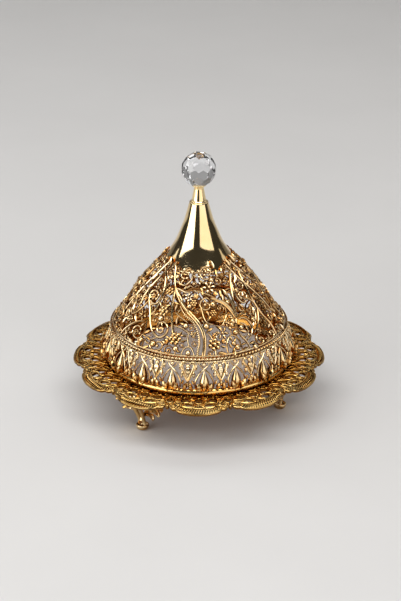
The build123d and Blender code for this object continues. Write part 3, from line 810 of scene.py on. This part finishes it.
# Painted shade of the band: dark where it turns sideways, lighter where it faces inwards, untouched facing out
BAND_PAINTED_SHADE = [
    (0.0, (0.92, 0.70, 0.44)), (0.22, (0.74, 0.53, 0.32)), (0.42, (0.36, 0.23, 0.12)), (0.60, (0.26, 0.16, 0.08)),
    (0.80, (0.72, 0.60, 0.44)), (0.92, (1.0, 1.0, 1.0))]
# Painted reflection on the band: more orange low down, as if the tray's gold glowed on it
BAND_PAINTED_REFLECTION = (BY_HEIGHT, [
    (0.45, (1.0, 0.84, 0.48)), (0.53, (1.0, 0.82, 0.48)), (0.61, (1.0, 0.95, 0.84)), (0.66, (1.0, 1.0, 1.0))])
# Painted reflection on the drops: their tops painted near black as if mirroring a dark room, their feet orange
DROP_PAINTED_REFLECTION = (BY_HEIGHT, [
    (0.50, (1.0, 0.78, 0.40)), (0.57, (1.0, 0.80, 0.44)), (0.605, (0.30, 0.20, 0.11)), (0.64, (0.13, 0.085, 0.05))])
# Painted shade of the drops: dark all round, left untouched only where they face straight out, a painted highlight
# stripe
DROP_PAINTED_SHADE = [
    (0.0, (0.3, 0.18, 0.09)), (0.80, (0.10, 0.06, 0.03)), (0.93, (0.34, 0.25, 0.15)), (0.985, (1.0, 1.0, 1.0))]
band_gold = gold("band_gold", (0.97, 0.80, 0.50), (0.92, 0.68, 0.36), painted_shade=BAND_PAINTED_SHADE, painted_reflection=BAND_PAINTED_REFLECTION)
drop_gold = gold(
    "drop_gold", (0.93, 0.72, 0.40), (0.88, 0.64, 0.30), smooth=0.05, dull=0.12, grain=700, depth=0.02,
    painted_shade=DROP_PAINTED_SHADE, painted_reflection=DROP_PAINTED_REFLECTION)
band_parts = drops + [
    turned_mesh(rounded([
        (78.7, 40.2), (79.5, 43.5), (80.4, 45.8), (82.5, 47.0), (83.7, 48.5), (83.5, 50.2), (82.5, 51.6),
        (81.3, 52.5), (80.2, 52.0), (80.0, 48.6), (78.9, 46.0), (77.6, 43.6), (76.9, 40.2)], 0.8), 144),
    turned_mesh(rounded([(71.8, 75.4), (76.6, 75.2), (78.2, 75.4), (78.2, 77.0), (71.8, 77.0)], 0.4), 144),
    stems(band_side, band_gold, band_strokes, GADROONS, GADROON_OFFSET),
    stems(band_side, band_gold, [
        (1.5, points) for points in tulip], GADROONS, GADROON_OFFSET, section=STRAP, tip=0.7),
    sprigs(band_side, band_gold, PETAL, [
        (1.4, 51.2, 68, 11.0), (-1.4, 51.2, 112, 11.0)], GADROONS, GADROON_OFFSET, lift=2.6),
    sprigs(band_side, band_gold, PETAL, [
        (10, 55.2, 90, 6.0), (7.9, 51.4, 82, 8.4), (12.1, 51.4, 98, 8.4), (6.2, 63.0, 84, 6.0), (-6.2, 63.0, 96, 6.0),
        (8.9, 66.0, 80, 7.0), (11.1, 66.0, 100, 7.0), (10, 63.0, 90, 6.0)], GADROONS, GADROON_OFFSET, lift=0.5),
    sprigs(band_side, band_gold, LEAF, [
        (4.6, 69.6, 60, 5.4), (-4.6, 69.6, 120, 5.4), (6.4, 57.0, 70, 5.0), (-6.4, 57.0, 110, 5.0)], GADROONS,
        GADROON_OFFSET),
    sprigs(band_side, band_gold, BALL, [
        (0, 74.4, 0, 3.4), (10, 73.2, 0, 4.2), (10, 59.4, 0, 2.6), (4.9, 72.6, 0, 2.2), (-4.9, 72.6, 0, 2.2),
        (7.0, 70.0, 0, 1.8), (-7.0, 70.0, 0, 1.8)], GADROONS, GADROON_OFFSET, lift=0.5),
]
piece("band_casting", band_parts, band_gold, "lid", "lid_band", out=0.97, up=0.2, second=drop_gold)

# LID DOME
# One openwork casting: stems that end in volutes, flowers, berries and leaves, between a foot
# ring with a roped edge and a top ring that carries the cone. Drawn for half, and used twice.
dome_side = SideLine("dome_side", [
    (77.2, 78.0), (72.5, 86), (66.9, 94), (62.0, 102), (57.0, 110), (51.6, 118), (45.4, 126), (38.7, 134),
    (31.8, 142), (28.6, 146)], 55.0)
MIDDLE, THIN = 1.2, 0.95
ribbons = [
    (1.7, [
        (-28, 128.8), (-19.5, 122), (-13.5, 116.2), (-4, 108.8), (1.5, 102.5), (3.7, 97), (4.2, 90.5), (3.2, 83),
        (2.8, 79)]),
    (1.2, [(-27.6, 128), (-25.6, 117), (-23.5, 108.5), (-21.5, 102), (-19.5, 97)]),
    (1.9, [(12, 122.4), (17, 121), (24, 118), (29, 112.5), (32, 105.6)]),
    (1.5, [(29, 126), (31, 121), (33, 114), (33.2, 105.6)]),
    (1.1, [(46, 145), (54, 134), (64, 121), (72, 108), (77, 95)]),
    (0.9, [(60, 145), (70, 133), (80, 119), (87, 104)]),
    (1.1, [(-56, 145), (-64, 134), (-71, 121), (-76, 107), (-80, 93)]),
    (0.9, [(-48, 145), (-57, 131), (-62, 117), (-61, 104)]),
]
dome_strokes = [
    (MIDDLE, [
        (-66, 142), (-49, 135), (-42, 128), (-40, 122.5), (-40, 118), (-44, 114), (-49, 114), (-54, 117), (-55, 120),
        (-52, 122.5), (-47, 122), (-44, 120), (-45, 117.5)]),
    (MIDDLE, [
        (-69, 125.5), (-57, 118), (-49.5, 111.5), (-44, 104), (-39.5, 97), (-35, 93), (-30.5, 91.4), (-27, 93),
        (-25, 96.6), (-25.4, 100.4), (-28.4, 102.8), (-31.8, 102.6), (-34, 99.8), (-33.4, 96.6), (-31, 95),
        (-28.8, 95.8), (-28.8, 98)]),
    (MIDDLE, [(-45, 146), (-40, 143), (-33, 135), (-28, 129)]),
    (MIDDLE, [(-28, 128.8), (-22, 128.2), (-14.5, 126.8), (-9, 127.2)]),
    (2.2, [(-21, 123.6), (-16, 118.8), (-11, 114.4), (-6.6, 110.8)]),
    (THIN, [(-6, 128.4), (-2, 127.8), (4.5, 126.8), (10, 125.4), (15, 123.4), (19, 121)]),
    (THIN, [
        (-32, 134), (-25, 132.5), (-18, 131.5), (-13, 133.5), (-9, 137.5), (-11, 141.5), (-17, 142.5), (-23, 141),
        (-25, 138), (-20, 136), (-16, 136.5)]),
    (THIN, [
        (19, 138), (11, 136), (5, 137), (2, 140.5), (5, 143.5), (12, 144.5), (18, 143.5), (18, 140.5), (13, 138.5),
        (8, 139)]),
    (MIDDLE, [(71, 145), (61, 143), (43, 132.5), (38, 125.5), (35, 117), (34, 106)]),
    (MIDDLE, [(32.6, 105.6), (31, 102), (31, 97.5), (32, 93), (35, 87.5), (36.5, 79.4)]),
    (THIN, [
        (43, 131.5), (40, 123), (42, 117.5), (45, 114.5), (51, 116), (53, 119.5), (50, 122), (44, 121), (45, 118)]),
    (MIDDLE, [(70, 139), (62, 131.5), (59, 122.5), (58, 112), (60, 101.5), (64, 92), (64, 79)]),
    (THIN, [
        (-46, 101.5), (-44, 93), (-45, 87.5), (-48, 85.5), (-53, 87), (-55, 90), (-53, 93.5), (-49, 93.5),
        (-47, 89.5)]),
    (THIN, [
        (-31, 91.2), (-35, 88.6), (-35.4, 84.6), (-32.4, 81.8), (-28.4, 82.2), (-26, 85), (-27.4, 88.2),
        (-30.6, 87.6), (-30, 85.2)]),
    (THIN, [
        (12, 120.5), (9, 123), (4.6, 122.4), (1.4, 120), (2.4, 116.4), (6.6, 114.8), (10.4, 117), (8.6, 119.4),
        (6, 118.4)]),
    (THIN, [(-46, 128), (-41, 124.5), (-43, 114)]),
    (THIN, [(34, 104.6), (39, 104.4), (43, 101), (44, 95.6), (41, 90.6), (36, 88)]),
    (THIN, [(34.6, 101.6), (38, 99.8), (39.6, 95.4), (38, 91)]),
    (THIN, [(46, 118), (54, 115), (58.5, 109), (56, 101.6), (50.6, 95.2), (43, 90)]),
    (THIN, [(50, 112), (54, 107), (52, 101), (47.6, 96)]),
    (THIN, [(1, 118.5), (3, 114), (5, 108), (7.6, 104.8), (12, 103.6)]),
    (THIN, [(20, 79), (19.6, 86), (21.4, 91.4), (25, 94), (28.8, 91.6), (30.2, 86), (30, 79)]),
    (THIN, [(25, 94), (25, 99), (22.6, 103.6)]),
    (THIN, [(-12, 79), (-11.4, 83.6), (-9.4, 87), (-6.6, 87.6), (-4, 84.6), (-3, 79)]),
    (THIN, [(-17.5, 98), (-17.5, 92.5), (-16.4, 86), (-16, 79)]),
    (THIN, [(11, 79), (11.4, 84), (11, 89), (9, 95), (5.4, 99)]),
    (THIN, [(-66, 79), (-64, 86), (-60, 92), (-54, 97), (-48, 99)]),
    (THIN, [(-40, 79), (-41.4, 84), (-40, 89), (-37, 91.6)]),
    (THIN, [(-21.6, 112), (-17, 109.4), (-12.6, 107.2), (-8.6, 105)]),
    (THIN, [(-18, 117), (-14, 112.6), (-9.4, 108.6)]),
    (THIN, [(-21.6, 102), (-14, 101), (-8, 98), (-2, 93.4)]),
    (THIN, [(-8, 98), (-8, 92.6), (-6.8, 88)]),
    (MIDDLE, [(92, 79), (88, 90), (84, 101), (86, 112), (93, 122), (97, 132), (92, 145)]),
    (THIN, [(84, 101), (78, 97), (72, 99), (70, 104), (73, 108), (78, 107), (78, 103)]),
    (THIN, [(93, 122), (86, 121), (80, 124), (78, 129), (82, 133), (87, 132), (87, 128)]),
    (THIN, [(88, 90), (94, 87), (100, 89), (102, 94), (99, 98), (94, 97), (94, 93)]),
    (THIN, [(86, 112), (93, 108), (100, 109), (104, 113), (102, 118), (97, 118)]),
    (THIN, [(70, 139), (66, 133), (70, 127), (74, 125)]),
    (THIN, [(-69, 125.5), (-74, 117), (-72, 110), (-66, 107), (-61, 110), (-63, 115)]),
    (THIN, [(-53, 114.5), (-60, 103), (-66, 99), (-72, 101), (-74, 95), (-70, 91)]),
    (THIN, [(24, 119), (25, 112), (22, 106), (17, 102), (13, 103)]),
    (THIN, [(45, 111), (41, 109), (38, 112), (38, 117)]),
]
dome_places = {
    "leaf": [
        (-4, 94, 70, 6), (-4, 94, 110, 6), (27, 128, -75, 9), (24, 128, -95, 8), (-36, 131, -120, 9),
        (-27, 134, -50, 5), (-44, 104, 60, 8), (-50, 110, 50, 7), (4, 124, 90, 6), (80, 92, 110, 8), (74, 88, 70, 8),
        (-70, 88, 80, 8), (-78, 92, 100, 8), (-80, 103, 70, 9), (-84, 116, 100, 9), (-58, 126, -120, 8),
        (-62, 133, -110, 8), (52, 135, -110, 8), (78, 137, -100, 7), (98, 102, 60, 8), (104, 128, 60, 9),
        (38.6, 99.4, -80, 8), (53, 109, -110, 9), (13.6, 105.4, 0, 8), (13.4, 102.6, -30, 7), (-21, 98, -60, 6),
        (-13, 98.6, 240, 6)],
    "petal": [(0, 136, 90, 4), (1, 131.5, 90, 4), (-1, 140, 90, 4), (-15, 138.5, 80, 4), (-58, 105, 90, 4)],
    "flower": [(76, 115, 0, 9), (-76, 110, 0, 8), (22.6, 104, 0, 9)],
    "berries": [
        (-32.5, 111, 0, 11), (-17.5, 92.5, 0, 13), (11, 89, 15, 13), (39, 142, 0, 4.4), (33, 137.5, 0, 4.4),
        (53, 88.5, 0, 6), (-5, 119.5, 0, 7), (90, 104, 0, 5), (72, 131, 0, 5), (-72, 121, 0, 5), (-42, 107, 0, 5),
        (13, 112, 0, 7)],
    "ball": [
        (-45, 117.5, 0, 3), (-28.8, 98, 0, 3), (-16, 136.5, 0, 2.6), (8, 139, 0, 2.6), (45, 118, 0, 2.6),
        (6, 118.4, 0, 3), (-47, 89.5, 0, 2.6), (-29.6, 85.2, 0, 3), (78, 103, 0, 2.4), (87, 128, 0, 2.4),
        (94, 93, 0, 2.4), (97, 118, 0, 2.4), (-63, 115, 0, 2.4), (-16, 85.6, 0, 5.4), (-7.2, 83.2, 0, 5),
        (25, 88, 0, 5), (25, 99.4, 0, 3.6), (38.6, 91, 0, 2.4)],
}
shapes = {"leaf": LEAF, "petal": PETAL, "flower": FLOWER, "berries": BERRIES, "ball": BALL, "rosette": ROSETTE,
"curl": CURL}
HALF_DRAWING = 180.0
FILL_SEED = 7
FILL_LOW, FILL_HIGH, FILL_SMALLEST = 80, 141, 1.4
FILL_STEP_UP, FILL_STEP_ROUND = 1.2, 1.5
FLANK, FLANK_SMALLEST = 48.0, 2.1
SMALL_GAP, WIDE_GAP = 2.2, 3.4
TWIG = 0.6
RING_LEVEL = 80.6


def fill_gaps(side, strokes, places):
    """Shapes for the gaps of a half drawing, the widest gap first; leaves grow away from the nearest stem."""
    chance = random.Random(FILL_SEED)
    blocks = [(a, side.along(level)[0], width) for width, points in strokes for a, level in smooth_line(points, 6)]
    blocks += [(a, side.along(level)[0], 0.42 * size) for kind in places.values() for a, level, _, size in kind]
    block_a, block_s, block_w = np.array(blocks).T
    spots = np.array([(a, level, *side.along(level)) for level in np.arange(FILL_LOW, FILL_HIGH, FILL_STEP_UP)
                      for a in np.arange(-HALF_DRAWING / 2, HALF_DRAWING / 2, FILL_STEP_ROUND)])
    spot_a, _, spot_s, spot_r = spots.T
    start, end = side.along(FILL_LOW)[0], side.along(FILL_HIGH)[0]

    def reach(a, s, w):
        turn = (spot_a[:, None] - a + HALF_DRAWING / 2) % HALF_DRAWING - HALF_DRAWING / 2
        return np.radians(turn) * spot_r[:, None], spot_s[:, None] - s, w

    across, up, width = reach(block_a, block_s, block_w)
    distance = np.hypot(across, up) - width
    nearest = distance.argmin(axis=1)
    rows_of = np.arange(len(spots))
    heading = np.arctan2(up[rows_of, nearest], across[rows_of, nearest])
    free = np.minimum(distance.min(axis=1), np.minimum(spot_s - start, end - spot_s) + 0.6)
    found = {kind: [] for kind in shapes}
    twigs = []
    least = np.where(np.abs(spot_a) > FLANK, FLANK_SMALLEST, FILL_SMALLEST)
    while (free > least).any():
        i = int(np.where(free > least, free, 0).argmax())
        a, level, s, r = spots[i]
        room, way = float(free[i]), float(heading[i])
        pick = chance.random()
        if room > WIDE_GAP:
            kind = "flower" if pick < 0.2 else "curl" if pick < 0.8 else "berries"
        elif room > SMALL_GAP:
            kind = "leaf" if pick < 0.35 else "curl" if pick < 0.8 else "rosette"
        else:
            kind = "leaf" if pick < 0.7 else "ball"
        turn = 360 * chance.random()
        base = (a - np.degrees(1.3 * room * cos(way) / r), level - room * sin(way))
        if room > SMALL_GAP:
            twigs.append((TWIG, [(float(base[0]), float(base[1])), (float(a), float(level))]))
        if kind == "leaf":
            a, level = a - np.degrees(room * cos(way) / r), level - 0.82 * room * sin(way)
            turn = way * 180 / pi
        found[kind].append((float(a), float(level), turn, 2 * room + 1.9))
        across, up, width = reach(np.array([spots[i][0]]), s, 0.86 * room)
        gap = (np.hypot(across, up) - width)[:, 0]
        closer = gap < free
        heading[closer] = np.arctan2(up[:, 0], across[:, 0])[closer]
        free[closer] = gap[closer]
    return found, twigs


ring_stroke = [(a, RING_LEVEL) for a in range(-90, 91, 15)]
dome_hatch = [(-10, 110.6), (-4.4, 106.8), (-1.4, 102.6), (0.6, 97), (1.2, 90.5), (0.2, 83.5), (0, 80)]
all_strokes = dome_strokes + ribbons + [(1.6, dome_hatch)]
fill, twigs = fill_gaps(dome_side, all_strokes, dome_places)
# Painted shade of the lid's castings: darkest where they turn sideways, brown where they face inwards, untouched
# facing out and up
CAST_PAINTED_SHADE = [
    (0.0, (0.90, 0.66, 0.40)), (0.20, (0.76, 0.50, 0.27)), (0.42, (0.24, 0.13, 0.055)), (0.62, (0.10, 0.05, 0.02)),
    (0.82, (0.40, 0.27, 0.14)), (0.90, (0.80, 0.66, 0.47)), (0.96, (1.0, 1.0, 1.0))]
cast_gold = gold("cast_gold", (0.97, 0.79, 0.50), (0.91, 0.64, 0.31), painted_shade=CAST_PAINTED_SHADE)
# The ribbons take a paler, creamy copy of the cast gold: a painted highlight on the broad ribbons
ribbon_gold = gold("ribbon_gold", (1.0, 0.93, 0.76), (0.97, 0.84, 0.58), smooth=0.14, dull=0.26, painted_shade=CAST_PAINTED_SHADE)
dome_parts = [
    stems(dome_side, cast_gold, [*dome_strokes, *twigs], 2),
    second_finish(stems(dome_side, ribbon_gold, ribbons, 2, lift=0.3, section=STRAP, tip=0.75)),
    stems(dome_side, cast_gold, [(1.5, ring_stroke)], 2, tip=1.0),
    rows(dome_side, cast_gold, PETAL, [(3.6, dome_hatch)], 1.7, 2, lift=0.1, lean=-140)]
for kind, places in [*dome_places.items(), *fill.items()]:
    dome_parts += [sprigs(dome_side, cast_gold, shapes[kind], places, 2, lift=0.25)]
edge_side = SideLine("edge_side", [(78.0, 76.6), (78.4, 77.4), (78.0, 78.8), (76.2, 80.4)], 78.0)
ROPE_SECTORS, ROPE_TURNS, ROPE_LEVEL, ROPE_RADIUS = 18, 8, 77.6, 78
ROPE_STEP = 20 / ROPE_TURNS
rope_line = [(-10 + i * (20 - ROPE_STEP) / 4, ROPE_LEVEL) for i in range(5)]
dome_parts += [
    rows(edge_side, cast_gold, PETAL, [(4.6, rope_line)], ROPE_STEP * ROPE_RADIUS * pi / 180, ROPE_SECTORS, lean=38),
    turned_mesh(rounded([
        (71.8, 77.1), (77.6, 77.1), (77.8, 78.4), (75.6, 80.0), (74.0, 80.2), (71.8, 79.0)], 0.5), 144),
    turned_mesh(rounded([(25.0, 143.4), (28.0, 143.4), (27.2, 144.5), (25.0, 144.6)], 0.3), 96),
    turned_mesh(rounded([(30.0, 139.4), (33.0, 139.4), (32.8, 140.6), (30.0, 140.8)], 0.3), 96)]
crest_side = SideLine("crest_side", [(33.2, 140.0), (31.2, 143.0), (28.4, 147.2), (25.6, 151.6)], 28.0)
crest = {
    LEAF: [(-49, 140.6, 108, 10.0), (-45, 140.6, 72, 8.0), (24, 142.6, 100, 8.0), (54, 140.6, 100, 8.0)],
    CURL: [(9, 142.6, 130, 9.0), (-17, 142.0, 210, 8.6), (44, 142.0, 20, 7.0), (-33, 141.8, 90, 6.4)],
    BALL: [(0, 141.4, 0, 3.0), (17, 141.4, 0, 2.8), (-9, 141.2, 0, 2.6)]}
for shape, places in crest.items():
    dome_parts += [sprigs(crest_side, cast_gold, shape, places, 3, 0, lift=0.3)]
piece("dome_casting", dome_parts, cast_gold, "lid", "lid_dome", second=ribbon_gold)

# RIVETS
# Six small brass rivets hold the dome's foot ring on the band's flange. They are set from below and
# gilt with the castings, so only their round heads show.
RIVET_RADIUS = 73.2
rivet = turned_mesh([
    (0, 74.7), (0.9, 74.8), (1.3, 75.4), (0.8, 75.4), (0.8, 79.4), (1.3, 79.4), (1.1, 80.1), (0, 80.4)], 12)
rivet.transform(Matrix.Translation((0, -RIVET_RADIUS * MM, 0)))
piece("rivets", set_round(rivet, range(0, 360, 60)), cast_gold, "lid", "dome_rivets")

# CONE, COLLAR AND CUP
# The cone is spun from sheet brass and polished bright; the collar and the cup above it are
# turned from bar. All three are threaded on one stud.
polished_gold = gold(
    "polished_gold", (0.95, 0.75, 0.42), (0.92, 0.69, 0.35), smooth=0.045, dull=0.11, grain=700, depth=0.012,
    stretch=(1, 1, 14))
CONE_WALL = 1.2
CONE_SIDE = [
    (31.3, 140.9), (30.2, 142.4), (28.9, 144.3), (27.6, 146.2), (24.8, 150.5), (20.8, 157.5), (17.2, 166.0),
    (13.3, 176.0), (10.6, 185.2), (8.2, 194.0)]
cone_line = smooth_line(CONE_SIDE, 6)
inner_line = [(r - CONE_WALL, z) for r, z in reversed(cone_line)]
cone = turned_mesh([*cone_line, (7.6, 194.5), (2.6, 194.5), (2.6, 193.3), (6.9, 193.2), *inner_line[2:]], 144)
piece("cone", [cone], polished_gold, "lid", "cone_cap")
collar = turned_mesh(rounded([
    (2.6, 194), (6.9, 194), (7.1, 195.0), (6.2, 196.0), (5.3, 201), (4.5, 205.4), (4.2, 207), (4.5, 208), (2.6, 208)],
    0.35), 72)
piece("collar", [collar], polished_gold, "lid", "neck_collar")
cup = turned_mesh(rounded([(2.6, 208), (4.6, 208), (5.6, 208.7), (6.5, 209.6), (6.2, 210.0), (2.6, 209.9)], 0.3), 72)
piece("cup", [cup], polished_gold, "lid", "ball_cup")

# CRYSTAL BALL
# A cut and polished ball of clear crystal with flat facets, seated in the cup by a flat foot.
crystal, tree, shader = surface("crystal", Transmission_Weight=1.0, IOR=1.54)
shader.inputs["Base Color"].default_value = (0.97, 0.98, 1.0, 1)
drifting(tree, shader, "Roughness", 300, [(0.45, 0.0), (0.8, 0.03)])
BALL_R, BALL_Z, BALL_FOOT_Z, BALL_TURN = 15.0, 224.0, 210.05, 14
FACET_DEPTH = 0.965
facet_ways = bmesh.new()
bmesh.ops.create_icosphere(facet_ways, subdivisions=2, radius=1.0)
bmesh.ops.rotate(facet_ways, verts=facet_ways.verts, matrix=Matrix.Rotation(radians(BALL_TURN), 3, "Z"))
cut_ball = bmesh.new()
for corner in facet_ways.faces:
    a, b, c = [v.co.normalized() for v in corner.verts]
    meet = (b.cross(c) + c.cross(a) + a.cross(b)) / a.dot(b.cross(c))
    cut_ball.verts.new(meet * BALL_R * FACET_DEPTH * MM + Vector((0, 0, BALL_Z * MM)))
bmesh.ops.convex_hull(cut_ball, input=cut_ball.verts)
bmesh.ops.dissolve_limit(cut_ball, angle_limit=radians(1), verts=cut_ball.verts, edges=cut_ball.edges)
foot = bmesh.ops.bisect_plane(cut_ball, geom=cut_ball.verts[
    :] + cut_ball.edges[:] + cut_ball.faces[:], dist=WELD, plane_co=(0, 0, BALL_FOOT_Z * MM), plane_no=(0, 0, -1),
    clear_outer=True)
bmesh.ops.holes_fill(cut_ball, edges=[e for e in foot["geom_cut"] if isinstance(e, bmesh.types.BMEdge)])
cut_mesh = bpy.data.meshes.new("ball")
cut_ball.to_mesh(cut_mesh)
crystal_ball = piece("cut_ball", [cut_mesh], crystal, "lid", "crystal_ball")
crystal_ball.data.shade_flat()

# STUD AND CLAMP
# A threaded steel stud runs from the ball down through cup, collar and cone. A gilt disc, a washer and
# a nut under the dome's top ring draw them all down.
hardware = {"finial_stud": steel, "clamp_disc": cast_gold, "clamp_washer": steel, "clamp_nut": steel}
for name, material in hardware.items():
    finish_solid(name, material)

# SEAMLESS FLOOR, LAMPS AND CAMERA
# A pale paper sweep. One wide soft box stands on each side of the camera, one hangs above the front and
# one above the back, and two weak ones light the sides from behind.
PAPER = (0.70, 0.69, 0.68)
paper, tree, shader = surface("paper", Roughness=0.9)
drifting(tree, shader, "Base Color", 6, [(0.3, tuple(c * 0.97 for c in PAPER)), (0.7, PAPER)])
SWEEP_NEAR, SWEEP_FAR, SWEEP_TOP, SWEEP_SIDE, SWEEP_CURVE = -4.0, 2.6, 3.4, 4.0, 0.4
sweep_line = [(SWEEP_NEAR, 0.0), (SWEEP_FAR, 0.0)] + [
    (SWEEP_FAR + SWEEP_CURVE * sin(radians(a)), SWEEP_CURVE - SWEEP_CURVE * cos(radians(a)))
    for a in range(10, 100, 10)] + [(SWEEP_FAR + SWEEP_CURVE, SWEEP_TOP)]
sweep = bpy.data.meshes.new("sweep")
sweep.from_pydata([
    (x, y, z) for y, z in sweep_line for x in (-SWEEP_SIDE, SWEEP_SIDE)], [],
    [[2 * i, 2 * i + 1, 2 * i + 3, 2 * i + 2] for i in range(len(sweep_line) - 1)])
sweep.materials.append(paper)
sweep.shade_smooth()
added("sweep", sweep)


BOX_DISTANCE = 2.2
BOX_AIM = Vector((0, 0, 0.12))


def soft_box(name, azimuth, elevation, width, height, radiance, colour):
    """A soft box that faces the dish, whose light is even over its face."""
    data = bpy.data.lights.new(name, "AREA")
    data.shape = "RECTANGLE"
    data.size, data.size_y = width, height
    data.energy = radiance * width * height * pi
    data.color = colour
    box = added(name, data)
    a, e = radians(azimuth), radians(elevation)
    away = Vector((sin(a) * cos(e), -cos(a) * cos(e), sin(e)))
    box.location = BOX_AIM + away * BOX_DISTANCE
    box.rotation_euler = away.to_track_quat("Z", "Y").to_euler()


soft_box("box_left", -57, 13, 2.2, 1.25, 2.8, (1.0, 1.0, 0.98))
soft_box("box_right", 40, 13, 2.75, 1.25, 1.3, (1.0, 0.94, 0.92))
soft_box("box_above", -8, 64, 3.0, 1.0, 4.5, (1.0, 1.0, 1.0))
soft_box("box_behind", 180, 70, 2.4, 1.0, 1.2, (1.0, 1.0, 1.0))
soft_box("box_side_left", -118, 34, 1.4, 1.4, 1.1, (1.0, 1.0, 1.0))
soft_box("box_side_right", 118, 34, 1.4, 1.4, 0.7, (1.0, 0.96, 0.90))
world = bpy.data.worlds.new("studio")
world.use_nodes = True
world.node_tree.nodes["Background"].inputs["Color"].default_value = (1.0, 0.98, 0.95, 1)
world.node_tree.nodes["Background"].inputs["Strength"].default_value = 0.04
bpy.context.scene.world = world

bpy.context.scene.view_settings.view_transform = "Standard"

LOOK_AT = Vector((0.0014, 0.0, 0.0991))
CAMERA_DISTANCE = 1.8297
CAMERA_ELEVATION = 24.73
FOCAL_PX, FRAME_HEIGHT_PX, SENSOR_MM = 2059, 601, 36.0
camera_data = bpy.data.cameras.new("camera")
camera_data.sensor_fit = "AUTO"
camera_data.sensor_width = SENSOR_MM
camera_data.lens = FOCAL_PX / FRAME_HEIGHT_PX * SENSOR_MM
camera = added("camera", camera_data)
elevation = radians(CAMERA_ELEVATION)
camera.location = LOOK_AT + CAMERA_DISTANCE * Vector((0, -cos(elevation), sin(elevation)))
camera.rotation_euler = (pi / 2 - elevation, 0, 0)
bpy.context.scene.camera = camera

# The drawn aids are no pieces of the dish and go
sides = (rim_side, band_side, dome_side, edge_side, crest_side)
for aid in (LEAF, PETAL, BALL, FLOWER, BERRIES, ROSETTE, CURL, RIB, RIDGE, STRAP, *[side.curve for side in sides]):
    bpy.data.objects.remove(aid)
